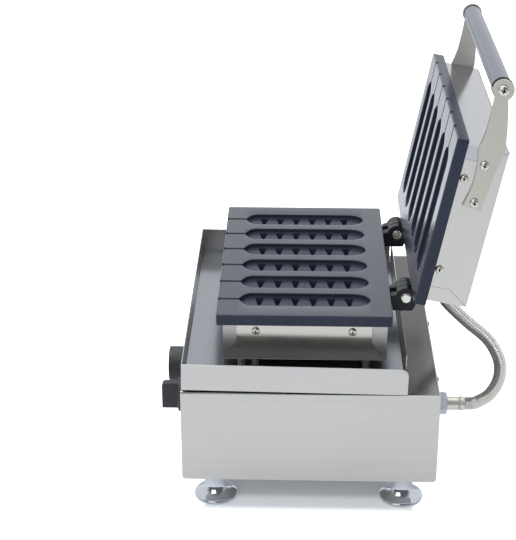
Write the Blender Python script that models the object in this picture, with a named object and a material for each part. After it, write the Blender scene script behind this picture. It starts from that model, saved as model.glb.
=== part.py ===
"""Waffle stick maker: six sticks at a time between two hinged cast plates, on a steel base.

Metres, +Z up. Front is -Y, the rear with the hinges is +Y, the machine's right side is +X.
Everything is drawn in machine coordinates: X = 0 at mid width, Y = 0 at the lower plate's front
edge, Z = 0 at the plane where the closed plates meet. The empty machine_datum moves all of it so
that the part stands on Z = 0 under the middle of its bounding box. The lid is drawn closed and
hangs under the empty lid_axis, which opens it by open_angle.
"""
import math

import bmesh
import bpy
from mathutils import Matrix, Vector

# Clearances and shared values
gap = 0.0003
overrun = 0.004
seam = 0.0003
smooth_limit_degrees = 35

# Screws: the head's rise and its rounding, as (radius, rise) shares
pan_rise_share = 0.62
pan_profile_shares = ((1.0, 0.35), (0.86, 0.75), (0.5, 1.0))
screw_overhang = 0.003
fine_sides = 24
foot_sides = 20
knob_sides = 36
round_sides = 16
small_sides = 10
nut_sides = 12
bend_steps = 3

# Cooking plates
plate_half_width = 0.1539
plate_depth = 0.190
plate_rim = 0.0124
plate_corner = 0.003
boss_height = 0.010
cavity_count = 6
cavity_pitch = 0.0455
cavity_length = 0.1454
cavity_width = 0.033
cavity_front = 0.0223
cavity_draft = 0.0011
front_taper = 0.017
rear_taper = 0.019
ogive_power = 2.6
taper_steps = 6
ledge_depth = 0.0046
pocket_count = 6
pocket_pitch = 0.0197
pocket_mouth = 0.0106
pocket_floor = 0.0016
pocket_span = 0.0285
pocket_floor_span = 0.012
pocket_depth = 0.0088
pocket_lift = 0.0005
stick_radius = 0.0021

# Casings behind the plates
casing_inset_x = 0.006
casing_inset_front = 0.0070
casing_inset_rear = 0.0052
casing_height = 0.0441
casing_sheet = 0.0012
cap_strip_front = 0.0147
cap_strip_rear = 0.0165
mitre_drop = 0.0222

# Heating
heater_radius = 0.004
heater_legs = 4
heater_leg_pitch = 0.038
heater_reach = 0.118
heater_points = 6
clamp_sheet = 0.002
clamp_half_width = 0.112
clamp_half_depth = 0.068
probe_radius = 0.003
probe_length = 0.090

# Hinges
hinge_offset = 0.088
hinge_reach = 0.0167
hinge_drop = 0.0009
barrel_radius = 0.0110
barrel_length = 0.0306
knuckle_count = 3
pin_radius = 0.0035
pin_head_flats = 0.0105
pin_head_height = 0.0042
pin_nut_height = 0.005
block_top = 0.0008
block_rear = 0.0114
block_foot_drop = 0.0175
block_foot_front = 0.0025
block_chamfer = 0.0072
lid_lug_low = 0.0047
lid_lug_high = 0.0122
lid_lug_pad = 0.0045
block_edge_chamfer = 0.0015
knuckle_blend_share = 0.9
open_angle = math.radians(101.0)

# Handle
arm_sheet = 0.003
handle_radius = 0.01125
tube_radius = 0.010
handle_wall = 0.0018
handle_forward = 0.0573
arm_length = 0.1306
handle_level = 0.0328
plug_flange = 0.0036
plug_spigot = 0.012
handle_screw_head = 0.00575
handle_screw_shank = 0.003
arm_screw_head = 0.0049
arm_screw_shank = 0.0025
arm_screw_level = 0.0343
arm_screw_front = 0.0238
arm_screw_pitch = 0.0417
eye_steps = 14
plug_thread_share = 0.7

# Outline of an arm: (share of the arm's length from the eye, share of the eye's radius above it)
arm_low_edge_shares = (
    (0.07, -0.60), (0.18, -0.54), (0.34, -0.53), (0.43, -0.66), (0.49, -0.80), (0.61, -0.53),
    (0.72, -0.42), (0.80, -0.44), (0.87, -0.55), (0.93, -0.71), (0.985, -0.85),
)
arm_high_edge_shares = (
    (1.0, 0.91), (0.87, 1.04), (0.68, 1.24), (0.53, 1.59), (0.46, 1.62), (0.30, 1.30), (0.14, 0.88),
    (0.07, 0.64),
)

# Base body
base_half_width = 0.1841
base_front = -0.0378
base_rear = 0.2422
base_top = -0.0786
base_height = 0.1091
body_sheet = 0.0012
body_bend = 0.0026
body_corner = 0.004
rear_lip = 0.020
vent_count = 5
vent_pitch = 0.020
vent_length = 0.060
vent_width = 0.005
vent_rows_apart = 0.110
vent_round_share = 0.45

# Tray
tray_overhang = 0.0011
tray_front = -0.0365
tray_rear = 0.2065
tray_height = 0.0312
tray_sheet = 0.001
tray_bend = 0.0016
tray_corner = 0.009
tray_tilt = math.radians(0.72)
tray_hole_clearance = 0.0012
tray_rear_open = 0.0332

# Posts that carry the lower casing
post_radius = 0.0045
post_inset = 0.0169
post_front = 0.0418
post_rear = 0.1632
post_stud_radius = 0.0025
conduit_y = 0.0268
conduit_wall = 0.001
conduit_sink = 0.006

# Feet
foot_inset_x = 0.031
foot_inset_y = 0.0358
foot_height = 0.038
foot_radius = 0.0245
foot_stud = 0.004
foot_stud_length = 0.012

# Side of a foot from the floor up: (share of its radius, share of its height)
foot_profile_shares = (
    (1.0, 0.0), (1.0, 0.055), (0.93, 0.10), (0.74, 0.19), (0.60, 0.31), (0.52, 0.46), (0.482, 0.62),
    (0.495, 0.77), (0.545, 0.90), (0.58, 0.95), (0.58, 1.0),
)

# Controls on the front panel
control_level = -0.133
thermostat_x = 0.017
timer_inset = 0.0931
dial_radius = 0.0225
dial_thickness = 0.0015
knob_clearance = 0.001
temperature_knob_radius = 0.0213
temperature_knob_depth = 0.0252
knob_edge = 0.0012
knob_dish_share = 0.72
timer_skirt_radius = 0.0198
timer_skirt_depth = 0.007
timer_bar_length = 0.032
timer_bar_thickness = 0.009
timer_bar_rounding = 0.004
timer_bar_depth = 0.0189
shaft_radius = 0.003
shaft_grip = 0.012
shaft_hole = 0.0042
shaft_sink = 0.010
thermostat_width = 0.040
thermostat_height = 0.036
thermostat_depth = 0.034
timer_width = 0.046
timer_height = 0.046
timer_depth = 0.030
lamp_inset = 0.1221
lamp_pitch = 0.036
lamp_radius = 0.005
lamp_flange = 0.0065
lamp_flange_depth = 0.0015
lamp_dome = 0.003
lamp_body = 0.016
terminal_inset = 0.0591
terminal_y = 0.150
terminal_width = 0.050
terminal_depth = 0.024
terminal_height = 0.018
terminal_slot = 0.006
terminal_count = 4

# Rear fittings and the braided hose
gland_inset = 0.0841
gland_level = -0.1353
adapter_radius = 0.0115
adapter_length = 0.0056
adapter_spigot = 0.007
adapter_spigot_length = 0.012
union_flats = 0.0225
union_length = 0.012
ferrule_radius = 0.0076
ferrule_length = 0.0186
ferrule_ring_rise = 0.0006
ferrule_ring_at = 0.0115
ferrule_ring_width = 0.0018
lid_hose_x = 0.045
lid_hose_level = 0.0395
lid_ferrule_length = 0.010
lid_spigot_share = 0.6
lid_flange_share = 0.3
mains_inset = 0.0641
mains_level = -0.150
mains_flange = 0.011
mains_flats = 0.018
mains_length = 0.016
mains_bore = 0.0045
hose_radius = 0.0067
hose_smoothing = 4

# Route of the hose's centre line between its fittings, chosen by hand in machine coordinates
hose_route = (
    (0.0465, 0.2492, -0.0130),
    (0.0500, 0.2598, -0.0330),
    (0.0560, 0.2820, -0.0550),
    (0.0640, 0.3040, -0.0712),
    (0.0720, 0.3170, -0.0868),
    (0.0780, 0.3207, -0.1010),
    (0.0850, 0.3165, -0.1140),
    (0.0915, 0.3045, -0.1265),
    (0.0970, 0.2925, -0.1330),
)

# Values that follow from the ones above
plate_back = plate_rim + boss_height
casing_near = plate_rim + gap
casing_back = casing_near + casing_height
casing_half = plate_half_width - casing_inset_x
post_x = casing_half - post_inset
casing_y0 = casing_inset_front
casing_y1 = plate_depth - casing_inset_rear
hinge_y = plate_depth + hinge_reach
hinge_z = -hinge_drop
lid_pin_level = hinge_z - gap
tray_half_width = base_half_width + tray_overhang
tray_rear_half_width = tray_half_width - tray_rear_open
timer_x = base_half_width - timer_inset
lamp_first_x = lamp_inset - base_half_width
terminal_x = terminal_inset - base_half_width
gland_x = base_half_width - gland_inset
mains_x = mains_inset - base_half_width
base_bottom = base_top - base_height
floor_level = base_bottom - foot_height
deck_level = base_top + gap
panel_front = base_front
wall_inner_x = base_half_width - body_sheet
chassis_half = wall_inner_x - gap
chassis_rear = base_rear - body_sheet - gap
chassis_inner_front = base_front + body_sheet
chassis_inner_rear = chassis_rear - body_sheet
chassis_floor = base_bottom + body_sheet
chassis_top = base_top - body_sheet - gap
dial_face = panel_front - gap - dial_thickness
temperature_knob_back = panel_front - knob_clearance
timer_knob_back = dial_face - knob_clearance
knob_front = timer_knob_back - timer_skirt_depth - timer_bar_depth
union_start = base_rear + gap + adapter_length
ferrule_start = union_start + gap + union_length
hose_end_y = ferrule_start + gap + ferrule_length + gap


def material(name, color, roughness, metallic):
    """A Principled material with one colour."""
    made = bpy.data.materials.new(name)
    made.use_nodes = True
    shader = made.node_tree.nodes["Principled BSDF"]
    shader.inputs["Base Color"].default_value = (*color, 1.0)
    shader.inputs["Roughness"].default_value = roughness
    shader.inputs["Metallic"].default_value = metallic
    made.diffuse_color = (*color, 1.0)
    return made


FINISHES = {
    "stainless": ((0.62, 0.61, 0.58), 0.35, 1.0),
    "nonstick": ((0.055, 0.062, 0.080), 0.45, 0.3),
    "hinge_black": ((0.012, 0.012, 0.014), 0.5, 0.2),
    "aluminium": ((0.50, 0.53, 0.60), 0.35, 1.0),
    "chrome": ((0.75, 0.77, 0.80), 0.08, 1.0),
    "zinc": ((0.60, 0.64, 0.72), 0.3, 1.0),
    "black_plastic": ((0.030, 0.030, 0.036), 0.5, 0.0),
    "screw_steel": ((0.70, 0.68, 0.62), 0.25, 1.0),
    "element": ((0.20, 0.19, 0.18), 0.5, 0.9),
    "braid": ((0.50, 0.49, 0.46), 0.4, 1.0),
    "ceramic": ((0.80, 0.79, 0.74), 0.7, 0.0),
    "green_lens": ((0.05, 0.45, 0.12), 0.2, 0.0),
    "amber_lens": ((0.85, 0.35, 0.04), 0.2, 0.0),
}


# Mesh building blocks

def closed_body(bm, rings):
    """Join rings of points, each the same count, into one closed skin with flat ends."""
    loops = [[bm.verts.new(point) for point in ring] for ring in rings]
    count = len(loops[0])
    for low, high in zip(loops, loops[1:]):
        for i in range(count):
            j = (i + 1) % count
            bm.faces.new((low[i], low[j], high[j], high[i]))
    bm.faces.new(list(reversed(loops[0])))
    bm.faces.new(loops[-1])


def along(axis, plane_point, height):
    """Put a 2D point and a height into 3D: axis X takes (y, z), Y takes (x, z), Z takes (x, y)."""
    a, b = plane_point
    if axis == "X":
        return (height, a, b)
    if axis == "Y":
        return (a, height, b)
    return (a, b, height)


def prism(bm, outline, axis, low, high):
    """A straight extrusion of an outline along an axis."""
    closed_body(bm, [[along(axis, p, h) for p in outline] for h in (low, high)])


def box(bm, low, high):
    """An upright box between two corners."""
    (x0, y0, z0), (x1, y1, z1) = low, high
    prism(bm, [(x0, y0), (x1, y0), (x1, y1), (x0, y1)], "Z", z0, z1)


def hexagon(centre, flats):
    """Six corners of a hexagon with the given width across flats."""
    radius = flats / math.sqrt(3.0)
    turns = [math.pi * i / 3.0 for i in range(6)]
    return [(centre[0] + radius * math.cos(t), centre[1] + radius * math.sin(t)) for t in turns]


def circle(centre, radius, sides):
    """Points of a circle, half a step round from the first axis."""
    turns = [2.0 * math.pi * (i + 0.5) / sides for i in range(sides)]
    return [(centre[0] + radius * math.cos(t), centre[1] + radius * math.sin(t)) for t in turns]


def hexagon_ring(centre, flats, sides):
    """A hexagon given with as many points as a circle of so many sides, for nuts with round bores."""
    corner = hexagon(centre, flats)
    each = sides // 6
    made = []
    for i in range(sides):
        side, step = divmod(i + each // 2, each)
        a = corner[side % 6]
        b = corner[(side + 1) % 6]
        share = step / each
        made.append((a[0] + (b[0] - a[0]) * share, a[1] + (b[1] - a[1]) * share))
    return made


def turned(bm, axis, centre, profile, sides):
    """A round body about an axis: profile holds (radius, height) pairs from end to end."""
    rings = [[along(axis, p, h) for p in circle(centre, r, sides)] for r, h in profile]
    closed_body(bm, rings)


def sleeve(bm, axis, loops):
    """A ring-shaped body: loops holds (outline, height) pairs that run once round its section."""
    rings = [[bm.verts.new(along(axis, p, height)) for p in outline] for outline, height in loops]
    count = len(rings[0])
    for k in range(len(rings)):
        low_ring = rings[k]
        high_ring = rings[(k + 1) % len(rings)]
        for i in range(count):
            j = (i + 1) % count
            bm.faces.new((low_ring[i], low_ring[j], high_ring[j], high_ring[i]))


def tube(bm, axis, centre, outer, inner, low, high, sides):
    """A round sleeve, open at both ends."""
    wide = circle(centre, outer, sides)
    narrow = circle(centre, inner, sides)
    sleeve(bm, axis, [(wide, low), (wide, high), (narrow, high), (narrow, low)])


def nut(bm, axis, centre, flats, bore, low, high):
    """A hexagon nut with a round bore."""
    outer = hexagon_ring(centre, flats, nut_sides)
    inner = circle(centre, bore, nut_sides)
    sleeve(bm, axis, [(outer, low), (outer, high), (inner, high), (inner, low)])


def rounded(points, radii, steps=bend_steps):
    """An outline whose corners are rounded by arcs, one radius for each corner."""
    made = []
    count = len(points)
    for i, radius in enumerate(radii):
        corner = Vector(points[i])
        if radius <= 0.0:
            made.append(tuple(corner))
            continue
        back = (Vector(points[i - 1]) - corner).normalized()
        ahead = (Vector(points[(i + 1) % count]) - corner).normalized()
        half = back.angle(ahead) / 2.0
        start = corner + back * (radius / math.tan(half))
        middle = corner + (back + ahead).normalized() * (radius / math.sin(half))
        sweep = math.pi - 2.0 * half
        side = 1.0 if back.x * ahead.y - back.y * ahead.x < 0.0 else -1.0
        for k in range(steps + 1):
            spoke = start - middle
            angle = side * sweep * k / steps
            turned_spoke = Matrix.Rotation(angle, 2) @ spoke
            made.append(tuple(middle + turned_spoke))
    return made


def rectangle(x0, x1, y0, y1):
    """Four corners, anticlockwise."""
    return [(x0, y0), (x1, y0), (x1, y1), (x0, y1)]


def pan_head(bm, axis, centre, seat, out, radius, shank, length, sides=small_sides):
    """A pan head screw: seat is the face it bears on, out is +1 or -1 along the axis."""
    rise = radius * pan_rise_share
    profile = [(shank, seat - out * length), (shank, seat + out * gap), (radius, seat + out * gap)]
    profile += [(radius * r, seat + out * (gap + rise * h)) for r, h in pan_profile_shares]
    turned(bm, axis, centre, profile, sides)


# Scene objects

def clear_scene():
    """Start from an empty scene."""
    for old in list(bpy.data.objects):
        bpy.data.objects.remove(old, do_unlink=True)


def empty(name, parent=None, location=(0.0, 0.0, 0.0)):
    """An empty that carries pieces."""
    made = bpy.data.objects.new(name, None)
    made.location = location
    made.parent = parent
    bpy.context.scene.collection.objects.link(made)
    return made


def piece(name, bm, finish, parent, shift=(0.0, 0.0, 0.0), smooth=False):
    """Turn a bmesh into a named object under its parent."""
    bmesh.ops.recalc_face_normals(bm, faces=bm.faces)
    mesh = bpy.data.meshes.new(name)
    bm.to_mesh(mesh)
    bm.free()
    if smooth:
        mesh.shade_smooth()
        mesh.set_sharp_from_angle(angle=math.radians(smooth_limit_degrees))
    made = bpy.data.objects.new(name, mesh)
    made.location = shift
    made.parent = parent
    if finish:
        made.data.materials.append(MADE_FINISHES[finish])
    bpy.context.scene.collection.objects.link(made)
    return made


def cutter(name, bm, parent, shift=(0.0, 0.0, 0.0)):
    """A hidden object that only cuts."""
    made = piece(name, bm, None, parent, shift)
    made.hide_render = True
    made.display_type = "WIRE"
    return made


def cut(target, tool, operation="DIFFERENCE"):
    """Cut one object by another with a live Boolean."""
    modifier = target.modifiers.new(tool.name, "BOOLEAN")
    modifier.operation = operation
    modifier.solver = "EXACT"
    modifier.object = tool


class Place:
    """Where pieces of one body are drawn: their parent, their shift and the side they face.

    side is -1 for the lower half, whose pieces go down from the parting plane, and +1 for the
    lid, whose pieces go up from it.
    """

    def __init__(self, parent, shift, side):
        self.parent = parent
        self.shift = shift
        self.side = side

    def level(self, away):
        """Height of a point that lies this far away from the parting plane."""
        return self.side * away

    def piece(self, name, bm, finish, smooth=False):
        return piece(name, bm, finish, self.parent, self.shift, smooth)

    def cutter(self, name, bm):
        return cutter(name, bm, self.parent, self.shift)


# Cooking plates

def cavity_half_width(distance_front, distance_rear, half):
    """Half width of a cavity: an ogive at the front tip, a half ellipse at the rear tip."""
    front = min(distance_front / front_taper, 1.0)
    rear = min(distance_rear / rear_taper, 1.0)
    share = 1.0 - (1.0 - front) ** ogive_power
    share *= math.sqrt(max(0.0, 1.0 - (1.0 - rear) ** 2))
    return half * share


def cavity_outline(centre_x, inset):
    """Outline of one cavity seen from above, drawn in by inset on every side."""
    half = cavity_width / 2.0 - inset
    front = cavity_front + inset
    rear = cavity_front + cavity_length - inset
    shares = [(k / taper_steps) ** 2 for k in range(taper_steps + 1)]
    stations = [front + front_taper * s for s in shares]
    stations += [rear - rear_taper * s for s in reversed(shares)]
    right = [(centre_x + cavity_half_width(y - front, rear - y, half), y) for y in stations]
    left = [(2.0 * centre_x - x, y) for x, y in reversed(right[1:-1])]
    return right + left


def cavity_centres():
    """X of each cavity's centre line."""
    first = -cavity_pitch * (cavity_count - 1) / 2.0
    return [first + cavity_pitch * i for i in range(cavity_count)]


def cooking_plate(name, place):
    """One cast plate: rim slab, boss behind it, six cavities with pockets, six stick grooves."""
    bm = bmesh.new()
    half = plate_half_width
    slab = rounded(rectangle(-half, half, 0.0, plate_depth), [plate_corner] * 4)
    reach_x = casing_half - casing_sheet - gap
    reach_y0 = casing_y0 + casing_sheet + gap
    reach_y1 = casing_y1 - casing_sheet - gap
    boss = rounded(rectangle(-reach_x, reach_x, reach_y0, reach_y1), [plate_corner] * 4)
    levels = ((slab, 0.0), (slab, plate_rim), (boss, plate_rim), (boss, plate_back))
    closed_body(bm, [[(x, y, place.level(w)) for x, y in ring] for ring, w in levels])
    plate = place.piece(name, bm, "nonstick")

    wells = bmesh.new()
    pockets = bmesh.new()
    grooves = bmesh.new()
    for x in cavity_centres():
        top = cavity_outline(x, 0.0)
        low = cavity_outline(x, cavity_draft)
        levels = ((top, -overrun), (top, 0.0), (low, ledge_depth))
        closed_body(wells, [[(a, b, place.level(w)) for a, b in ring] for ring, w in levels])
        for i in range(pocket_count):
            y = cavity_front + cavity_length / 2.0 + pocket_pitch * (i - (pocket_count - 1) / 2.0)
            rings = []
            for length, span, w in (
                (pocket_mouth, pocket_span, ledge_depth - pocket_lift),
                (pocket_floor, pocket_floor_span, ledge_depth + pocket_depth),
            ):
                ring = rectangle(x - span / 2.0, x + span / 2.0, y - length / 2.0, y + length / 2.0)
                rings.append([(a, b, place.level(w)) for a, b in ring])
            closed_body(pockets, rings)
        centre = (x, 0.0)
        turned(grooves, "Y", centre, [(stick_radius, -overrun), (stick_radius, cavity_front + overrun)],
               small_sides)
    cut(plate, place.cutter(name + "_wells", wells))
    cut(plate, place.cutter(name + "_pockets", pockets))
    cut(plate, place.cutter(name + "_grooves", grooves))


# Casings

def cap_solid(bm, place, at_front):
    """Hollow corner piece of a casing: an end wall with side flanges and a back flange."""
    half = casing_half
    back = casing_back - casing_sheet - gap
    y_end = casing_y0 if at_front else casing_y1
    inward = 1.0 if at_front else -1.0
    y_far = y_end + inward * (cap_strip_front if at_front else cap_strip_rear)
    y_wall = y_end + inward * casing_sheet
    ys = sorted((y_end, y_far))
    levels = sorted((place.level(casing_near), place.level(back)))
    box(bm, (-half, ys[0], levels[0]), (half, ys[1], levels[1]))
    hollow = bmesh.new()
    ys = sorted((y_wall, y_far + inward * overrun))
    levels = sorted((place.level(casing_near - overrun), place.level(back - casing_sheet)))
    inner = half - casing_sheet
    box(hollow, (-inner, ys[0], levels[0]), (inner, ys[1], levels[1]))
    return hollow


def mitre(bm, place, at_front, upper):
    """Prisms through both side walls along a mitred seam, above it or below it."""
    y_end = casing_y0 if at_front else casing_y1
    inward = 1.0 if at_front else -1.0
    shift = -seam / 2.0 if upper else seam / 2.0
    y_strip = y_end + inward * ((cap_strip_front if at_front else cap_strip_rear) + shift)
    y_out = y_end - inward * overrun
    low = casing_back - mitre_drop
    high = casing_back - seam + shift
    if upper:
        y_in = y_strip + inward * overrun
        corners = [(y_out, casing_back + overrun), (y_out, high), (y_end, high), (y_strip, low),
                   (y_in, low), (y_in, casing_back + overrun)]
    else:
        near = casing_near - overrun
        corners = [(y_out, near), (y_strip, near), (y_strip, low), (y_end, high), (y_out, high)]
    outline = [(y, place.level(w)) for y, w in corners]
    inner = casing_half - casing_sheet - gap
    for sign in (-1.0, 1.0):
        ends = sorted((sign * inner, sign * (casing_half + overrun)))
        prism(bm, outline, "X", ends[0], ends[1])


def casing(prefix, place):
    """The channel behind a plate and its two end caps."""
    half = casing_half
    near = place.level(casing_near)
    back = place.level(casing_back)
    bm = bmesh.new()
    radius = casing_sheet + gap
    outline = rounded([(-half, near), (half, near), (half, back), (-half, back)],
                      [0.0, 0.0, radius, radius])
    prism(bm, outline, "Y", casing_y0, casing_y1)
    channel = place.piece(prefix + "_casing", bm, "stainless")
    hollow = bmesh.new()
    inner = half - casing_sheet
    levels = sorted((place.level(casing_near - overrun), place.level(casing_back - casing_sheet)))
    box(hollow, (-inner, casing_y0 - overrun, levels[0]), (inner, casing_y1 + overrun, levels[1]))
    cut(channel, place.cutter(prefix + "_casing_hollow", hollow))
    ends = bmesh.new()
    mitre(ends, place, True, False)
    mitre(ends, place, False, False)
    cut(channel, place.cutter(prefix + "_casing_mitres", ends))

    caps = []
    for at_front, word in ((True, "front"), (False, "rear")):
        bm = bmesh.new()
        hollow = cap_solid(bm, place, at_front)
        cap = place.piece(prefix + "_" + word + "_cap", bm, "stainless")
        cut(cap, place.cutter(cap.name + "_hollow", hollow))
        corner = bmesh.new()
        mitre(corner, place, at_front, True)
        cut(cap, place.cutter(cap.name + "_mitre", corner))
        caps.append(cap)

    return channel, caps


def heating(prefix, place):
    """Tubular element on the boss and the clamp plate over it."""
    level = place.level(plate_back + gap + heater_radius)
    curve = bpy.data.curves.new(prefix + "_element", "CURVE")
    curve.dimensions = "3D"
    curve.bevel_depth = heater_radius
    curve.bevel_resolution = 2
    curve.use_fill_caps = True
    points = []
    middle = plate_depth / 2.0
    reach = heater_reach - heater_leg_pitch / 2.0
    for leg in range(heater_legs):
        y = middle + heater_leg_pitch * (leg - (heater_legs - 1) / 2.0)
        side = 1.0 if leg % 2 == 0 else -1.0
        start_x = -side * (heater_reach if leg == 0 else reach)
        end_x = side * (heater_reach if leg == heater_legs - 1 else reach)
        points.append((start_x, y))
        points.append((end_x, y))
        if leg < heater_legs - 1:
            for k in range(1, heater_points):
                turn = math.pi * k / heater_points - math.pi / 2.0
                bow = heater_leg_pitch / 2.0
                points.append((end_x + side * bow * math.cos(turn), y + bow + bow * math.sin(turn)))
    spline = curve.splines.new("POLY")
    spline.points.add(len(points) - 1)
    for slot, (x, y) in zip(spline.points, points):
        slot.co = (x, y, level, 1.0)
    curve.materials.append(MADE_FINISHES["element"])
    element = bpy.data.objects.new(prefix + "_element", curve)
    element.location = place.shift
    element.parent = place.parent
    bpy.context.scene.collection.objects.link(element)

    near = plate_back + gap + 2.0 * heater_radius + gap
    far = near + clamp_sheet
    bm = bmesh.new()
    levels = sorted((place.level(near), place.level(far)))
    low_y = middle - clamp_half_depth
    high_y = middle + clamp_half_depth
    box(bm, (-clamp_half_width, low_y, levels[0]), (clamp_half_width, high_y, levels[1]))
    place.piece(prefix + "_clamp_plate", bm, "stainless")


# Hinges

def hinge_centres():
    return [("right", hinge_offset), ("left", -hinge_offset)]


def lower_hinge_block(word, centre, place):
    """Lower leaf: a block behind the plate's edge with the two outer knuckles."""
    front = plate_depth + gap
    foot = plate_depth + block_foot_front
    rear = hinge_y + block_rear
    half = barrel_length / 2.0
    outline = [(front, -plate_rim), (foot, -plate_rim), (foot, -block_foot_drop),
               (rear - block_chamfer / 2.0, -block_foot_drop), (rear, -block_foot_drop + block_chamfer),
               (hinge_y + barrel_radius * knuckle_blend_share, hinge_z),
               (hinge_y, hinge_z + barrel_radius / 2.0), (front + block_edge_chamfer, block_top),
               (front, -gap)]
    bm = bmesh.new()
    prism(bm, outline, "X", centre - half, centre + half)
    block = place.piece("hinge_block_lower_" + word, bm, "hinge_black")
    barrel = bmesh.new()
    ends = (centre - half, centre + half)
    turned(barrel, "X", (hinge_y, hinge_z), [(barrel_radius, ends[0]), (barrel_radius, ends[1])],
           fine_sides)
    cut(block, place.cutter(block.name + "_barrel", barrel), "UNION")
    third = barrel_length / knuckle_count / 2.0 + gap
    slot = bmesh.new()
    web = hinge_y - barrel_radius - 2.0 * gap
    outline = [(front - overrun, -plate_rim / 4.0), (web, -plate_rim / 4.0),
               (web, -block_foot_drop - overrun), (rear + overrun, -block_foot_drop - overrun),
               (rear + overrun, hinge_z + barrel_radius + overrun),
               (front - overrun, hinge_z + barrel_radius + overrun)]
    prism(slot, outline, "X", centre - third, centre + third)
    cut(block, place.cutter(block.name + "_slot", slot))
    bore = bmesh.new()
    radius = pin_radius + gap
    turned(bore, "X", (hinge_y, hinge_z), [(radius, ends[0] - overrun), (radius, ends[1] + overrun)],
           round_sides)
    cut(block, place.cutter(block.name + "_bore", bore))


def lid_hinge_lug(word, centre, place):
    """Upper leaf: a pad on the lid plate's edge with the middle knuckle."""
    front = plate_depth + gap
    half = barrel_length / 2.0
    third = barrel_length / knuckle_count / 2.0 - gap
    bm = bmesh.new()
    box(bm, (centre - half, front, lid_lug_low), (centre + half, front + lid_lug_pad, lid_lug_high))
    lug = place.piece("hinge_block_upper_" + word, bm, "hinge_black")
    arm = bmesh.new()
    blend = barrel_radius * knuckle_blend_share
    outline = [(front, lid_lug_low), (hinge_y, lid_pin_level), (hinge_y + blend / 2.0, lid_pin_level + blend),
               (hinge_y, lid_pin_level + barrel_radius), (hinge_y - barrel_radius / 2.0, lid_lug_high),
               (front, lid_lug_high)]
    prism(arm, outline, "X", centre - third, centre + third)
    cut(lug, place.cutter(lug.name + "_arm", arm), "UNION")
    barrel = bmesh.new()
    turned(barrel, "X", (hinge_y, lid_pin_level),
           [(barrel_radius, centre - third), (barrel_radius, centre + third)], fine_sides)
    cut(lug, place.cutter(lug.name + "_barrel", barrel), "UNION")
    bore = bmesh.new()
    radius = pin_radius + gap
    turned(bore, "X", (hinge_y, lid_pin_level),
           [(radius, centre - half - overrun), (radius, centre + half + overrun)], round_sides)
    cut(lug, place.cutter(lug.name + "_bore", bore))


def hinge_bolts(place):
    """A bolt through each hinge, with its nut on the left end."""
    half = barrel_length / 2.0
    centre_yz = (hinge_y, hinge_z)
    head = hexagon_ring(centre_yz, pin_head_flats, nut_sides)
    shank = circle(centre_yz, pin_radius, nut_sides)
    for word, centre in hinge_centres():
        right = centre + half + gap
        left = centre - half - gap
        loops = ((head, right + pin_head_height), (head, right), (shank, right),
                 (shank, left - pin_nut_height))
        bm = bmesh.new()
        closed_body(bm, [[along("X", p, h) for p in outline] for outline, h in loops])
        place.piece("hinge_bolt_" + word, bm, "screw_steel")
        bm = bmesh.new()
        nut(bm, "X", centre_yz, pin_head_flats, pin_radius + gap, left - pin_nut_height, left)
        place.piece("hinge_nut_" + word, bm, "screw_steel")


# Handle

def arm_outline():
    """Side outline (y, z) of a handle arm, its eye round the handle's axis."""
    eye_y = -handle_forward
    edge = [(eye_y + arm_length * a, handle_level + handle_radius * b)
            for a, b in arm_low_edge_shares + arm_high_edge_shares]
    start = math.atan2(edge[-1][1] - handle_level, edge[-1][0] - eye_y)
    finish = math.atan2(edge[0][1] - handle_level, edge[0][0] - eye_y) + 2.0 * math.pi
    for k in range(1, eye_steps):
        turn = start + (finish - start) * k / eye_steps
        edge.append((eye_y + handle_radius * math.cos(turn), handle_level + handle_radius * math.sin(turn)))
    return edge


def arm_screw_places():
    """Name and (y, z) of the two screws that hold an arm to the casing."""
    return [("front", (arm_screw_front, arm_screw_level)),
            ("rear", (arm_screw_front + arm_screw_pitch, arm_screw_level))]


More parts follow.
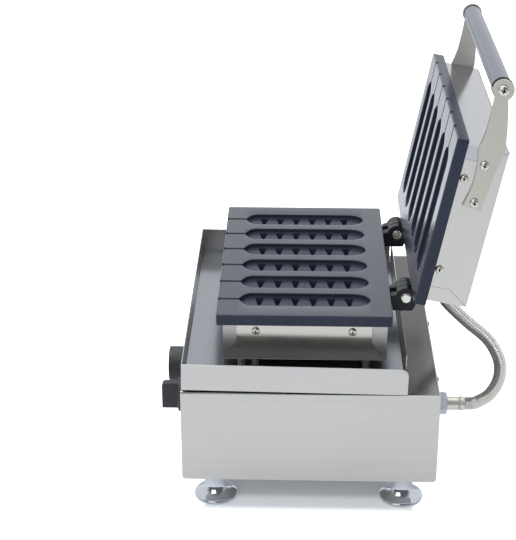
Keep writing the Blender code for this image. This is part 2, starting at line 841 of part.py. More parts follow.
def handle(place, channel, front_cap):
    """Two arms outside the casing, the tube between them, its end plugs and the screws."""
    inner = casing_half + gap
    outer = inner + arm_sheet
    eye = (-handle_forward, handle_level)
    casing_holes = bmesh.new()
    for word, sign in (("right", 1.0), ("left", -1.0)):
        ends = sorted((sign * inner, sign * outer))
        bm = bmesh.new()
        prism(bm, arm_outline(), "X", ends[0], ends[1])
        arm = place.piece("handle_arm_" + word, bm, "stainless")
        holes = bmesh.new()
        radius = handle_screw_shank + gap
        turned(holes, "X", eye, [(radius, ends[0] - overrun), (radius, ends[1] + overrun)], small_sides)
        for row, at in arm_screw_places():
            radius = arm_screw_shank + gap
            turned(holes, "X", at, [(radius, ends[0] - overrun), (radius, ends[1] + overrun)], small_sides)
            wall = sorted((sign * (casing_half - casing_sheet - overrun), sign * (casing_half + gap / 2.0)))
            turned(casing_holes, "X", at, [(radius, wall[0]), (radius, wall[1])], small_sides)
            screw = bmesh.new()
            pan_head(screw, "X", at, sign * outer, sign, arm_screw_head, arm_screw_shank,
                     arm_sheet + gap + casing_sheet + screw_overhang)
            place.piece("arm_screw_" + row + "_" + word, screw, "screw_steel", smooth=True)
        cut(arm, place.cutter(arm.name + "_holes", holes))
        screw = bmesh.new()
        pan_head(screw, "X", eye, sign * outer, sign, handle_screw_head, handle_screw_shank,
                 arm_sheet + gap + plug_flange + plug_spigot * plug_thread_share)
        place.piece("handle_screw_" + word, screw, "screw_steel", smooth=True)
        bm = bmesh.new()
        seat = inner - gap
        profile = [(handle_radius, sign * seat), (handle_radius, sign * (seat - plug_flange)),
                   (tube_radius - handle_wall - gap, sign * (seat - plug_flange)),
                   (tube_radius - handle_wall - gap, sign * (seat - plug_flange - plug_spigot))]
        turned(bm, "X", eye, profile, fine_sides)
        plug = place.piece("handle_end_ring_" + word, bm, "black_plastic", smooth=True)
        bore = bmesh.new()
        ends = sorted((sign * (seat + overrun), sign * (seat - plug_flange - plug_spigot - overrun)))
        radius = handle_screw_shank + gap
        turned(bore, "X", eye, [(radius, ends[0]), (radius, ends[1])], small_sides)
        cut(plug, place.cutter(plug.name + "_bore", bore))
    tool = place.cutter("lid_casing_arm_holes", casing_holes)
    cut(channel, tool)
    cut(front_cap, tool)
    bm = bmesh.new()
    reach = inner - 2.0 * gap - plug_flange
    tube(bm, "X", eye, tube_radius, tube_radius - handle_wall, -reach, reach, fine_sides)
    place.piece("handle_tube", bm, "aluminium", smooth=True)


# Base body

def post_places():
    """Name and (x, y) of each post under the lower casing."""
    return [(row + "_" + word, (sign * post_x, y)) for row, y in (("front", post_front), ("rear", post_rear))
            for word, sign in (("right", 1.0), ("left", -1.0))]


def base_cover(place):
    """Deck, both sides and the rear lip, folded from one sheet."""
    half = base_half_width
    bm = bmesh.new()
    outline = rounded([(base_front, base_bottom), (base_rear, base_bottom), (base_rear, base_top),
                       (base_front, base_top)], [body_corner, body_corner, body_bend, 0.0])
    prism(bm, outline, "X", -half, half)
    crease = [e for e in bm.edges if all(abs(v.co.z - base_top) < gap for v in e.verts)
              and abs(e.verts[0].co.x - e.verts[1].co.x) < gap]
    bmesh.ops.bevel(bm, geom=crease, offset=body_bend, segments=bend_steps, affect="EDGES", profile=0.5)
    cover = place.piece("base_cover", bm, "stainless")
    hollow = bmesh.new()
    inner = half - body_sheet
    box(hollow, (-inner, base_front - overrun, base_bottom - overrun),
        (inner, base_rear - body_sheet, base_top - body_sheet))
    cut(cover, place.cutter("base_cover_hollow", hollow))
    below = bmesh.new()
    box(below, (-inner, base_rear - overrun, base_bottom - overrun),
        (inner, base_rear + overrun, base_top - rear_lip))
    cut(cover, place.cutter("base_cover_lip", below))
    holes = bmesh.new()
    ends = (base_top - body_sheet - overrun, base_top + overrun)
    for _, at in post_places():
        radius = post_stud_radius + gap
        turned(holes, "Z", at, [(radius, ends[0]), (radius, ends[1])], small_sides)
    radius = post_radius + gap
    turned(holes, "Z", (post_x, conduit_y), [(radius, ends[0]), (radius, ends[1])], round_sides)
    cut(cover, place.cutter("base_cover_holes", holes))


def base_chassis(place):
    """Front panel, floor and rear panel, folded from one sheet that slides into the cover."""
    bm = bmesh.new()
    outline = rounded([(base_front, base_bottom), (chassis_rear, base_bottom), (chassis_rear, chassis_top),
                       (base_front, chassis_top)], [body_corner, body_corner, 0.0, 0.0])
    prism(bm, outline, "X", -chassis_half, chassis_half)
    chassis = place.piece("base_chassis", bm, "stainless")
    hollow = bmesh.new()
    bend = body_corner - body_sheet
    outline = rounded([(chassis_inner_front, chassis_floor), (chassis_inner_rear, chassis_floor),
                       (chassis_inner_rear, chassis_top + overrun),
                       (chassis_inner_front, chassis_top + overrun)], [bend, bend, 0.0, 0.0])
    prism(hollow, outline, "X", -chassis_half - overrun, chassis_half + overrun)
    cut(chassis, place.cutter("base_chassis_hollow", hollow))
    holes = bmesh.new()
    front = (base_front - overrun, chassis_inner_front + overrun)
    rear = (chassis_inner_rear - overrun, chassis_rear + overrun)
    for x in (thermostat_x, timer_x):
        turned(holes, "Y", (x, control_level), [(shaft_hole, front[0]), (shaft_hole, front[1])],
               round_sides)
    for i in range(2):
        x = lamp_first_x - lamp_pitch * i
        radius = lamp_radius + gap
        turned(holes, "Y", (x, control_level), [(radius, front[0]), (radius, front[1])], round_sides)
    radius = adapter_spigot + gap
    turned(holes, "Y", (gland_x, gland_level), [(radius, rear[0]), (radius, rear[1])], round_sides)
    turned(holes, "Y", (mains_x, mains_level), [(radius, rear[0]), (radius, rear[1])], round_sides)
    floor = (base_bottom - overrun, chassis_floor + overrun)
    for _, at in foot_places():
        radius = foot_stud + gap
        turned(holes, "Z", at, [(radius, floor[0]), (radius, floor[1])], round_sides)
    cut(chassis, place.cutter("base_chassis_holes", holes))
    vents = bmesh.new()
    middle = (base_front + base_rear) / 2.0
    for row in (-1.0, 1.0):
        for i in range(vent_count):
            y = middle + vent_pitch * (i - (vent_count - 1) / 2.0)
            x = row * vent_rows_apart / 2.0
            slot = rounded(rectangle(x - vent_length / 2.0, x + vent_length / 2.0, y - vent_width / 2.0,
                                     y + vent_width / 2.0), [vent_width * vent_round_share] * 4, 2)
            prism(vents, slot, "Z", floor[0], floor[1])
    cut(chassis, place.cutter("base_chassis_vents", vents))


def tray(parent):
    """Shallow pan on the deck, its front edge a little higher than its rear edge."""
    hub = empty("tray_seat", parent, (0.0, tray_rear, deck_level))
    hub.rotation_euler = (-tray_tilt, 0.0, 0.0)
    place = Place(hub, (0.0, 0.0, 0.0), 1.0)
    length = tray_rear - tray_front
    half = tray_half_width
    bm = bmesh.new()
    outline = rounded([(-length, 0.0), (0.0, 0.0), (0.0, tray_height), (-length, tray_height)],
                      [tray_bend, tray_bend, 0.0, 0.0])
    prism(bm, outline, "X", -half, half)
    crease = [e for e in bm.edges if all(abs(v.co.z) < gap / 2.0 for v in e.verts)
              and abs(e.verts[0].co.x - e.verts[1].co.x) < gap]
    bmesh.ops.bevel(bm, geom=crease, offset=tray_bend, segments=bend_steps, affect="EDGES", profile=0.5)
    pan = place.piece("drip_tray", bm, "stainless")
    inner = half - tray_sheet
    corners = bmesh.new()
    arc = [(-tray_corner + tray_corner * math.sin(turn), tray_height - tray_corner + tray_corner
            * math.cos(turn)) for turn in [math.pi / 2.0 * k / eye_steps for k in range(eye_steps + 1)]]
    outline = arc + [(overrun, tray_height - tray_corner), (overrun, tray_height + overrun),
                     (-tray_corner, tray_height + overrun)]
    for ends in ((-half - overrun, overrun - inner), (inner - overrun, half + overrun)):
        prism(corners, outline, "X", ends[0], ends[1])
    cut(pan, place.cutter("drip_tray_corners", corners))
    hollow = bmesh.new()
    bend = tray_bend - tray_sheet
    outline = rounded([(-length + tray_sheet, tray_sheet), (-tray_sheet, tray_sheet),
                       (-tray_sheet, tray_height + overrun), (-length + tray_sheet, tray_height + overrun)],
                      [bend, bend, 0.0, 0.0])
    prism(hollow, outline, "X", -inner, inner)
    cut(pan, place.cutter("drip_tray_hollow", hollow))
    notches = bmesh.new()
    for ends in ((-inner, -tray_rear_half_width), (tray_rear_half_width, inner)):
        box(notches, (ends[0], -tray_sheet - overrun, tray_bend), (ends[1], overrun, tray_height + overrun))
    cut(pan, place.cutter("drip_tray_notches", notches))
    holes = bmesh.new()
    ends = (-overrun, tray_sheet + overrun)
    for x, y in [at for _, at in post_places()] + [(post_x, conduit_y)]:
        radius = post_radius + tray_hole_clearance
        turned(holes, "Z", (x, y - tray_rear), [(radius, ends[0]), (radius, ends[1])], round_sides)
    cut(pan, place.cutter("drip_tray_holes", holes))


def posts(place, channel):
    """Four posts from the deck to the lower casing, each with a stud at both ends, and the conduit."""
    holes = bmesh.new()
    top = -casing_back - gap
    for word, at in post_places():
        low_end = base_top - body_sheet - screw_overhang
        high_end = top + gap + casing_sheet + screw_overhang
        profile = [(post_stud_radius, low_end), (post_stud_radius, deck_level), (post_radius, deck_level),
                   (post_radius, top), (post_stud_radius, top), (post_stud_radius, high_end)]
        bm = bmesh.new()
        turned(bm, "Z", at, profile, round_sides)
        place.piece("casing_post_" + word, bm, "stainless", smooth=True)
        radius = post_stud_radius + gap
        turned(holes, "Z", at, [(radius, -casing_back - overrun),
                                (radius, -casing_back + casing_sheet + overrun)], small_sides)
    radius = post_radius + gap
    turned(holes, "Z", (post_x, conduit_y), [(radius, -casing_back - overrun),
                                             (radius, -casing_back + casing_sheet + overrun)], round_sides)
    cut(channel, place.cutter("lower_casing_post_holes", holes))
    bm = bmesh.new()
    ends = (base_top - body_sheet - conduit_sink, -casing_back + casing_sheet + conduit_sink)
    tube(bm, "Z", (post_x, conduit_y), post_radius, post_radius - conduit_wall, ends[0], ends[1],
         round_sides)
    place.piece("wiring_conduit", bm, "stainless", smooth=True)


# Feet

def foot_places():
    """Name and (x, y) of each foot."""
    x = base_half_width - foot_inset_x
    rows = (("front", base_front + foot_inset_y), ("rear", base_rear - foot_inset_y))
    return [(row + "_" + word, (sign * x, y)) for row, y in rows
            for word, sign in (("right", 1.0), ("left", -1.0))]


def feet(place):
    """Chrome feet with threaded studs through the floor."""
    top = foot_height - gap
    stud_top = chassis_floor + foot_stud_length
    for word, at in foot_places():
        profile = [(foot_radius * r, floor_level + top * h) for r, h in foot_profile_shares]
        profile += [(foot_stud, floor_level + top), (foot_stud, stud_top)]
        bm = bmesh.new()
        turned(bm, "Z", at, profile, foot_sides)
        place.piece("foot_" + word, bm, "chrome", smooth=True)


# Controls

def control_body(base, name, x, width, height, depth, finish):
    """A switch body behind the front panel, with a hole for its shaft."""
    near = chassis_inner_front + gap
    bm = bmesh.new()
    box(bm, (x - width / 2.0, near, control_level - height / 2.0),
        (x + width / 2.0, near + depth, control_level + height / 2.0))
    body = base.piece(name, bm, finish)
    hole = bmesh.new()
    radius = shaft_radius + gap
    ends = (near - overrun, near + shaft_sink + gap)
    turned(hole, "Y", (x, control_level), [(radius, ends[0]), (radius, ends[1])], round_sides)
    cut(body, base.cutter(name + "_bore", hole))


def shaft(place, name, back):
    """Shaft from inside a knob to inside its switch body."""
    bm = bmesh.new()
    ends = (back - shaft_grip, chassis_inner_front + gap + shaft_sink)
    turned(bm, "Y", (0.0, 0.0), [(shaft_radius, ends[0]), (shaft_radius, ends[1])], round_sides)
    place.piece(name, bm, "screw_steel", smooth=True)


def knob_bore(place, name, back):
    """Blind hole in a knob for its shaft."""
    bm = bmesh.new()
    radius = shaft_radius + gap
    ends = (back - shaft_grip - gap, back + overrun)
    turned(bm, "Y", (0.0, 0.0), [(radius, ends[0]), (radius, ends[1])], round_sides)
    return place.cutter(name, bm)


def temperature_control(base, place):
    """Round knob, its shaft and the thermostat."""
    control_body(base, "thermostat", thermostat_x, thermostat_width, thermostat_height, thermostat_depth,
                 "ceramic")
    shaft(place, "temperature_shaft", temperature_knob_back)
    bm = bmesh.new()
    radius = temperature_knob_radius
    front = temperature_knob_back - temperature_knob_depth
    dish = radius * knob_dish_share
    profile = [(radius, temperature_knob_back), (radius, front + knob_edge), (radius - knob_edge, front),
               (dish, front), (dish - knob_edge, front + knob_edge)]
    turned(bm, "Y", (0.0, 0.0), profile, knob_sides)
    knob = place.piece("temperature_knob", bm, "black_plastic", smooth=True)
    cut(knob, knob_bore(place, "temperature_knob_bore", temperature_knob_back))


def timer_control(base, place):
    """Knob with a bar grip, its dial plate, its shaft and the timer."""
    control_body(base, "timer", timer_x, timer_width, timer_height, timer_depth, "black_plastic")
    shaft(place, "timer_shaft", timer_knob_back)
    bm = bmesh.new()
    tube(bm, "Y", (timer_x, control_level), dial_radius, shaft_hole, dial_face, panel_front - gap,
         fine_sides)
    base.piece("timer_dial", bm, "aluminium", smooth=True)
    bm = bmesh.new()
    radius = timer_skirt_radius
    front = timer_knob_back - timer_skirt_depth
    profile = [(radius, timer_knob_back), (radius, front + knob_edge), (radius - knob_edge, front)]
    turned(bm, "Y", (0.0, 0.0), profile, knob_sides)
    knob = place.piece("timer_knob", bm, "black_plastic", smooth=True)
    bar = bmesh.new()
    half_t = timer_bar_thickness / 2.0
    half_l = timer_bar_length / 2.0
    outline = rounded([(front + knob_edge, -half_l), (front + knob_edge, half_l), (knob_front, half_l),
                       (knob_front, -half_l)], [0.0, 0.0, timer_bar_rounding, knob_edge])
    prism(bar, outline, "X", -half_t, half_t)
    cut(knob, place.cutter("timer_knob_bar", bar), "UNION")
    cut(knob, knob_bore(place, "timer_knob_bore", timer_knob_back))


def lamps(place):
    """Two pilot lamps in the front panel."""
    for i, (word, finish) in enumerate((("power_lamp", "green_lens"), ("heating_lamp", "amber_lens"))):
        x = lamp_first_x - lamp_pitch * i
        seat = panel_front - gap
        bm = bmesh.new()
        profile = [(lamp_radius, seat + lamp_body), (lamp_radius, seat), (lamp_flange, seat),
                   (lamp_flange, seat - lamp_flange_depth),
                   (lamp_radius, seat - lamp_flange_depth - lamp_dome / 3.0),
                   (lamp_radius / 2.0, seat - lamp_flange_depth - lamp_dome)]
        turned(bm, "Y", (x, control_level), profile, round_sides)
        place.piece(word, bm, finish, smooth=True)


def terminal_block(place):
    """Ceramic terminal block on the floor, with a slot for each wire."""
    bm = bmesh.new()
    low = chassis_floor + gap
    half_w = terminal_width / 2.0
    half_d = terminal_depth / 2.0
    box(bm, (terminal_x - half_w, terminal_y - half_d, low),
        (terminal_x + half_w, terminal_y + half_d, low + terminal_height))
    block = place.piece("terminal_block", bm, "ceramic")
    slots = bmesh.new()
    pitch = terminal_width / terminal_count
    for i in range(terminal_count):
        x = terminal_x - half_w + pitch * (i + 0.5)
        box(slots, (x - terminal_slot / 2.0, terminal_y - half_d - overrun, low + terminal_height / 2.0),
            (x + terminal_slot / 2.0, terminal_y + half_d + overrun, low + terminal_height + overrun))
    cut(block, place.cutter("terminal_slots", slots))


def probe(place):
    """Thermostat probe held on the lower plate's boss between two legs of the element."""
    bm = bmesh.new()
    level = -(plate_back + gap + probe_radius)
    y = plate_depth / 2.0
    ends = (-probe_length / 2.0, probe_length / 2.0)
    turned(bm, "X", (y, level), [(probe_radius, ends[0]), (probe_radius, ends[1])], small_sides)
    place.piece("temperature_probe", bm, "chrome")


# Hose and rear fittings

def rear_fittings(base):
    """Adapter through the rear panel, the union nut, the crimped ferrule and the mains cable's gland."""
    at = (gland_x, gland_level)
    start = base_rear + gap
    bm = bmesh.new()
    inner = chassis_inner_rear
    profile = [(adapter_spigot, inner - adapter_spigot_length), (adapter_spigot, chassis_rear + gap),
               (adapter_radius, chassis_rear + gap), (adapter_radius, start + adapter_length)]
    turned(bm, "Y", at, profile, fine_sides)
    base.piece("hose_adapter", bm, "zinc", smooth=True)
    bm = bmesh.new()
    prism(bm, hexagon(at, union_flats), "Y", union_start, union_start + union_length)
    base.piece("hose_union_nut", bm, "zinc")
    bm = bmesh.new()
    ring = ferrule_start + ferrule_ring_at
    wide = ferrule_radius + ferrule_ring_rise
    profile = [(ferrule_radius, ferrule_start), (ferrule_radius, ring), (wide, ring + ferrule_ring_rise),
               (wide, ring + ferrule_ring_width), (ferrule_radius, ring + ferrule_ring_width
                                                   + ferrule_ring_rise),
               (ferrule_radius, ferrule_start + ferrule_length)]
    turned(bm, "Y", at, profile, fine_sides)
    base.piece("hose_ferrule_base", bm, "stainless", smooth=True)

    at = (mains_x, mains_level)
    bm = bmesh.new()
    out = chassis_rear + gap
    bore = circle(at, mains_bore, nut_sides)
    spigot = circle(at, adapter_spigot, nut_sides)
    flange = circle(at, mains_flange, nut_sides)
    nose = hexagon_ring(at, mains_flats, nut_sides)
    inside = inner - adapter_spigot_length
    face = out + adapter_length / 2.0
    sleeve(bm, "Y", [(bore, inside), (spigot, inside), (spigot, out), (flange, out), (flange, face),
                     (nose, face), (nose, out + mains_length), (bore, out + mains_length)])
    base.piece("mains_gland", bm, "black_plastic")


def lid_fitting(place, rear_cap):
    """Short ferrule through the lid's rear cap."""
    at = (lid_hose_x, place.level(lid_hose_level))
    outer = casing_y1 + gap
    inner = casing_y1 - casing_sheet
    bm = bmesh.new()
    profile = [(adapter_spigot, inner - adapter_spigot_length * lid_spigot_share),
               (adapter_spigot, outer), (adapter_radius, outer),
               (adapter_radius, outer + lid_ferrule_length * lid_flange_share),
               (ferrule_radius, outer + lid_ferrule_length * lid_flange_share),
               (ferrule_radius, outer + lid_ferrule_length)]
    turned(bm, "Y", at, profile, fine_sides)
    place.piece("hose_ferrule_lid", bm, "stainless", smooth=True)
    hole = bmesh.new()
    radius = adapter_spigot + gap
    turned(hole, "Y", at, [(radius, inner - overrun), (radius, casing_y1 + overrun)], round_sides)
    cut(rear_cap, place.cutter("lid_hose_hole", hole))


def lid_point(x, y, z):
    """Machine coordinates of a point of the closed lid once the lid stands open."""
    turn = Matrix.Rotation(-open_angle, 3, "X")
    return turn @ Vector((x, y - hinge_y, z - lid_pin_level)) + Vector((0.0, hinge_y, hinge_z))


def hose_points():
    """The hose's centre line: straight ends at both fittings, smooth between the route's points."""
    reach = casing_y1 + gap + lid_ferrule_length + gap
    start = lid_point(lid_hose_x, reach, lid_hose_level)
    start_next = lid_point(lid_hose_x, reach + hose_radius, lid_hose_level)
    end = Vector((gland_x, hose_end_y, gland_level))
    end_before = end + Vector((0.0, hose_radius, 0.0))
    knots = [start, start_next] + [Vector(p) for p in hose_route] + [end_before, end]
    made = [start]
    for i in range(1, len(knots) - 2):
        p0, p1, p2, p3 = knots[i - 1], knots[i], knots[i + 1], knots[i + 2]
        for k in range(hose_smoothing):
            t = k / hose_smoothing
            a = p1 * 2.0
            b = (p2 - p0) * t
            c = (p0 * 2.0 - p1 * 5.0 + p2 * 4.0 - p3) * t * t
            d = (p1 * 3.0 - p0 - p2 * 3.0 + p3) * t * t * t
            made.append((a + b + c + d) / 2.0)
    made += [end_before, end]
    return made


def hose(place):
    """The braided hose as one tube between the two ferrules."""
    curve = bpy.data.curves.new("braided_hose", "CURVE")
    curve.dimensions = "3D"
    curve.bevel_depth = hose_radius
    curve.bevel_resolution = 3
    curve.use_fill_caps = True
    points = hose_points()
    spline = curve.splines.new("POLY")
    spline.points.add(len(points) - 1)
    for slot, point in zip(spline.points, points):
        slot.co = (*point, 1.0)
    curve.materials.append(MADE_FINISHES["braid"])
    made = bpy.data.objects.new("braided_hose", curve)
    made.location = place.shift
    made.parent = place.parent
    bpy.context.scene.collection.objects.link(made)


MADE_FINISHES = {}


def main():
    clear_scene()
    for name, values in FINISHES.items():
        MADE_FINISHES[name] = material(name, *values)

    back_most = max(point.y for point in hose_points()) + hose_radius
    middle_y = (knob_front + back_most) / 2.0
    machine = empty("machine_datum", None, (0.0, -middle_y, -floor_level))
    base = Place(machine, (0.0, 0.0, 0.0), -1.0)
    upright = Place(machine, (0.0, 0.0, 0.0), 1.0)

    lid_axis = empty("lid_axis", machine, (0.0, hinge_y, hinge_z))
    lid_axis.rotation_euler = (-open_angle, 0.0, 0.0)
    lid = Place(lid_axis, (0.0, -hinge_y, -lid_pin_level), 1.0)

    cooking_plate("lower_plate", base)
    lower_channel, _ = casing("lower", base)
    heating("lower", base)
    probe(base)

    cooking_plate("upper_plate", lid)
    lid_channel, lid_caps = casing("lid", lid)
    heating("upper", lid)
    handle(lid, lid_channel, lid_caps[0])
    lid_fitting(lid, lid_caps[1])

    for word, centre in hinge_centres():
        lower_hinge_block(word, centre, upright)
        lid_hinge_lug(word, centre, lid)
    hinge_bolts(upright)

    base_cover(upright)
    base_chassis(upright)
    tray(machine)
    posts(upright, lower_channel)
    feet(upright)

    knob_axis = empty("temperature_axis", machine, (thermostat_x, 0.0, control_level))
    temperature_control(upright, Place(knob_axis, (0.0, 0.0, 0.0), 1.0))
    knob_axis = empty("timer_axis", machine, (timer_x, 0.0, control_level))
    timer_control(upright, Place(knob_axis, (0.0, 0.0, 0.0), 1.0))
    lamps(upright)
    terminal_block(upright)
    rear_fittings(upright)
    hose(upright)


if __name__ == "__main__":
    main()
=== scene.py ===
"""Waffle stick maker: detailed surfaces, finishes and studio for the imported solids.

Metres, +Z up, front with the knobs at -Y, machine's right side at +X. The lid stands open.
Pieces are drawn in machine coordinates: X = 0 at mid width, Y = 0 at the lower plate's front edge,
height 0 at the plane where the closed plates meet. Lid pieces are drawn closed and then opened.
"""

import math

import bmesh
import bpy
import numpy as np
from bpy.props import FloatProperty, FloatVectorProperty, IntProperty, PointerProperty
from mathutils import Matrix, Vector


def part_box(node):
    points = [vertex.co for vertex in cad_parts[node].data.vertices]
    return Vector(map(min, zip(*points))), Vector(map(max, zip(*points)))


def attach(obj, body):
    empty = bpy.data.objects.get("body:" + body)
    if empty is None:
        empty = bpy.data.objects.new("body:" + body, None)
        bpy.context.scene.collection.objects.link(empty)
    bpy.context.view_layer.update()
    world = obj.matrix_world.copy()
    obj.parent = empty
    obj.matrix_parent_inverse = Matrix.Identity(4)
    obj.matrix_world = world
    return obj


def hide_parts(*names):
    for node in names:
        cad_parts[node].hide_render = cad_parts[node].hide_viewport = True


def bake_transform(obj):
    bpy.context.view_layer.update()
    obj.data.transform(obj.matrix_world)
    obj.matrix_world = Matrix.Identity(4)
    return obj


bl_info = {
    "name": "Waffle Stick Maker",
    "version": (1, 0, 0),
    "blender": (4, 5, 0),
    "location": "View3D > Sidebar > Waffle Stick Maker",
    "description": "Dresses the solids of a countertop waffle stick maker and lights them",
    "category": "Object",
}

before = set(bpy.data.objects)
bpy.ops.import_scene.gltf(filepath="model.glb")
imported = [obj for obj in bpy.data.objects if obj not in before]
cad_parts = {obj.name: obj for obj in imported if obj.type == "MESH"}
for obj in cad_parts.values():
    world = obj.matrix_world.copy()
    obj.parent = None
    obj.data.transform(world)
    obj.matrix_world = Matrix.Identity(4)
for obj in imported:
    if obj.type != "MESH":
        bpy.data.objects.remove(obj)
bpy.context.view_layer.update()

# The machine's datum and its hinge, taken from the solids
PLATE_LOW, PLATE_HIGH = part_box("lower_plate")
DATUM = np.array([0.0, PLATE_LOW.y, PLATE_HIGH.z])
OPEN_ANGLE = math.radians(101.0)
HINGE = np.array([0.0, 0.2067, -0.0009])
LID_PIN = np.array([0.0, 0.2067, -0.0012])
# Sizes as in the solids: the gap between neighbours, the casings' half width and rear face, the
# base's rear face, the depth of a plate's rim, the arms' sheet, the tray's slope, and where the
# hose meets the base and the closed lid
GAP = 0.0003
CASING_HALF = 0.1479
CASING_REAR = 0.1848
BASE_REAR = 0.2422
PLATE_RIM = 0.0124
ARM_SHEET = 0.003
TRAY_SLOPE = math.tan(math.radians(0.72))
HOSE_BASE = np.array([0.1, 0.0, -0.1353])
HOSE_LID = np.array([0.045, 0.0, 0.0395])

X_AXIS = (1.0, 0.0, 0.0)
Y_AXIS = (0.0, 1.0, 0.0)
Z_AXIS = (0.0, 0.0, 1.0)
NO_TURN = (0.0, 0.0, 0.0)


# Surfaces

def worked(mesh, *steps, sharp=None):
    """Run bmesh steps on a mesh, shade it smooth, or sharp where it turns more than sharp degrees,
    and link an object of the same name that shows it."""
    work = bmesh.new()
    work.from_mesh(mesh)
    for step in steps:
        step(work)
    work.to_mesh(mesh)
    work.free()
    mesh.shade_smooth()
    if sharp is not None:
        mesh.set_sharp_from_angle(angle=math.radians(sharp))
    made = bpy.data.objects.new(mesh.name, mesh)
    bpy.context.scene.collection.objects.link(made)
    return made


def face_outwards(work):
    bmesh.ops.recalc_face_normals(work, faces=work.faces)


def merge_doubles(work):
    bmesh.ops.remove_doubles(work, verts=work.verts, dist=2e-6)
    bmesh.ops.dissolve_degenerate(work, edges=work.edges, dist=5e-7)


def join_flats(work):
    bmesh.ops.remove_doubles(work, verts=work.verts, dist=1e-5)
    bmesh.ops.dissolve_limit(work, angle_limit=math.radians(0.6), verts=work.verts, edges=work.edges)


class Skin:
    """Points and faces of one piece, gathered grid by grid."""

    def __init__(self):
        self.points = []
        self.faces = []
        self.corners = []
        self.count = 0

    def grid(self, points, closed=False, uv=None):
        """Four-sided faces between neighbours of a (rows, columns, 3) grid; closed joins the last
        column to the first. uv is a (rows, columns + closed, 2) grid."""
        rows, columns = points.shape[:2]
        index = self.count + np.arange(rows * columns).reshape(rows, columns)
        if closed:
            index = np.concatenate([index, index[:, :1]], axis=1)
        ring = (index[:-1, :-1], index[:-1, 1:], index[1:, 1:], index[1:, :-1])
        self.faces += np.stack(ring, -1).reshape(-1, 4).tolist()
        self.points.append(points.reshape(-1, 3))
        self.count += rows * columns
        if uv is not None:
            ring = (uv[:-1, :-1], uv[:-1, 1:], uv[1:, 1:], uv[1:, :-1])
            self.corners.append(np.stack(ring, 2).reshape(-1, 2))
        return index

    def polygon(self, indices):
        """One flat face through points that are already in the skin."""
        self.faces.append([int(i) for i in indices])

    def object(self, name, place=None, sharp=35.0):
        """The finished piece: doubles merged, faces turned outwards, smooth but for sharp edges."""
        points = np.concatenate(self.points)
        if place is not None:
            points = place(points)
        mesh = bpy.data.meshes.new(name)
        mesh.from_pydata(points.tolist(), [], self.faces)
        if self.corners:
            layer = mesh.uv_layers.new(name="Surface")
            layer.data.foreach_set("uv", np.concatenate(self.corners).ravel())
        return worked(mesh, merge_doubles, face_outwards, sharp=sharp)


def base_place(points):
    """Machine coordinates to world coordinates."""
    return points + DATUM


def lid_place(points):
    """Coordinates of the closed lid to world coordinates with the lid open."""
    spin = np.array(Matrix.Rotation(-OPEN_ANGLE, 3, "X"))
    return (points - LID_PIN) @ spin.T + HINGE + DATUM


PLACES = {"base": base_place, "lid": lid_place}


def frame_of(axis):
    """Three unit vectors for a round piece: two across, one along its axis."""
    along = np.array(axis, float)
    along /= np.linalg.norm(along)
    helper = np.array([0.0, 0.0, 1.0]) if abs(along[2]) < 0.9 else np.array([0.0, 1.0, 0.0])
    across = np.cross(helper, along)
    across /= np.linalg.norm(across)
    return across, np.cross(along, across), along


def turned(skin, profile, centre, axis, sides, ripple=None):
    """A profile of (radius, height) rows carried round an axis: point = centre + radius (cos t,
    sin t) across + height along. ripple(radius, height, t) may change the radius."""
    profile = np.asarray(profile, float)
    turn = np.linspace(0.0, 2.0 * math.pi, sides, endpoint=False)
    radius = np.repeat(profile[:, :1], sides, axis=1)
    height = np.repeat(profile[:, 1:2], sides, axis=1)
    if ripple is not None:
        radius = ripple(radius, height, turn[None, :])
    first, second, along = frame_of(axis)
    spokes = np.cos(turn)[:, None] * first + np.sin(turn)[:, None] * second
    points = np.asarray(centre, float) + radius[..., None] * spokes + height[..., None] * along
    return skin.grid(points, closed=True)


def arc(centre_r, centre_h, radius, start, finish):
    """Seven points of a circular arc in a (radius, height) profile, angles in degrees."""
    turn = np.radians(np.linspace(start, finish, 7))
    return np.stack([centre_r + radius * np.cos(turn), centre_h + radius * np.sin(turn)], 1).tolist()


def smooth_line(points, rounds=3):
    """Corner cutting: each span keeps its points at 1/4 and 3/4, so the line turns softly."""
    points = np.asarray(points, float)
    for _ in range(rounds):
        near = points[:-1] * 0.75 + points[1:] * 0.25
        far = points[:-1] * 0.25 + points[1:] * 0.75
        inner = np.stack([near, far], 1).reshape(-1, points.shape[1])
        points = np.concatenate([points[:1], inner, points[-1:]])
    return points


def smooth_step(low, high, value):
    """0 below low, 1 above high, an even S-curve between."""
    share = np.clip((value - low) / (high - low), 0.0, 1.0)
    return share * share * (3.0 - 2.0 * share)


def finished(made, body, slot, finish, *nodes):
    """Give a piece its material, its body and the solids that it stands for."""
    made.data.materials.clear()
    made.data.materials.append(MATERIALS[finish])
    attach(made, body)
    if nodes:
        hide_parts(*nodes)
    return made


def turned_piece(name, profile, centre, axis, sides, place, look, node, sharp=35.0):
    """A turned piece in place of one solid. look is its body, its slot and its finish; the slot is not
    used.
    """
    skin = Skin()
    turned(skin, profile, centre, axis, sides)
    return finished(skin.object(name, place, sharp), *look, node)


def refined(node, name, width, steps=2, sharp=30.0):
    """A copy of a solid with its edges rounded: doubles merged, flat triangles joined, then a bevel
    of the given width on edges that turn more than 40 degrees."""
    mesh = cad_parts[node].data.copy()
    mesh.name = name
    made = worked(mesh, join_flats, sharp=sharp)
    bevel = made.modifiers.new("edge_rounding", "BEVEL")
    bevel.width = width
    bevel.segments = steps
    bevel.limit_method = "ANGLE"
    bevel.angle_limit = math.radians(40.0)
    bevel.use_clamp_overlap = True
    bevel.harden_normals = True
    return made


# Materials

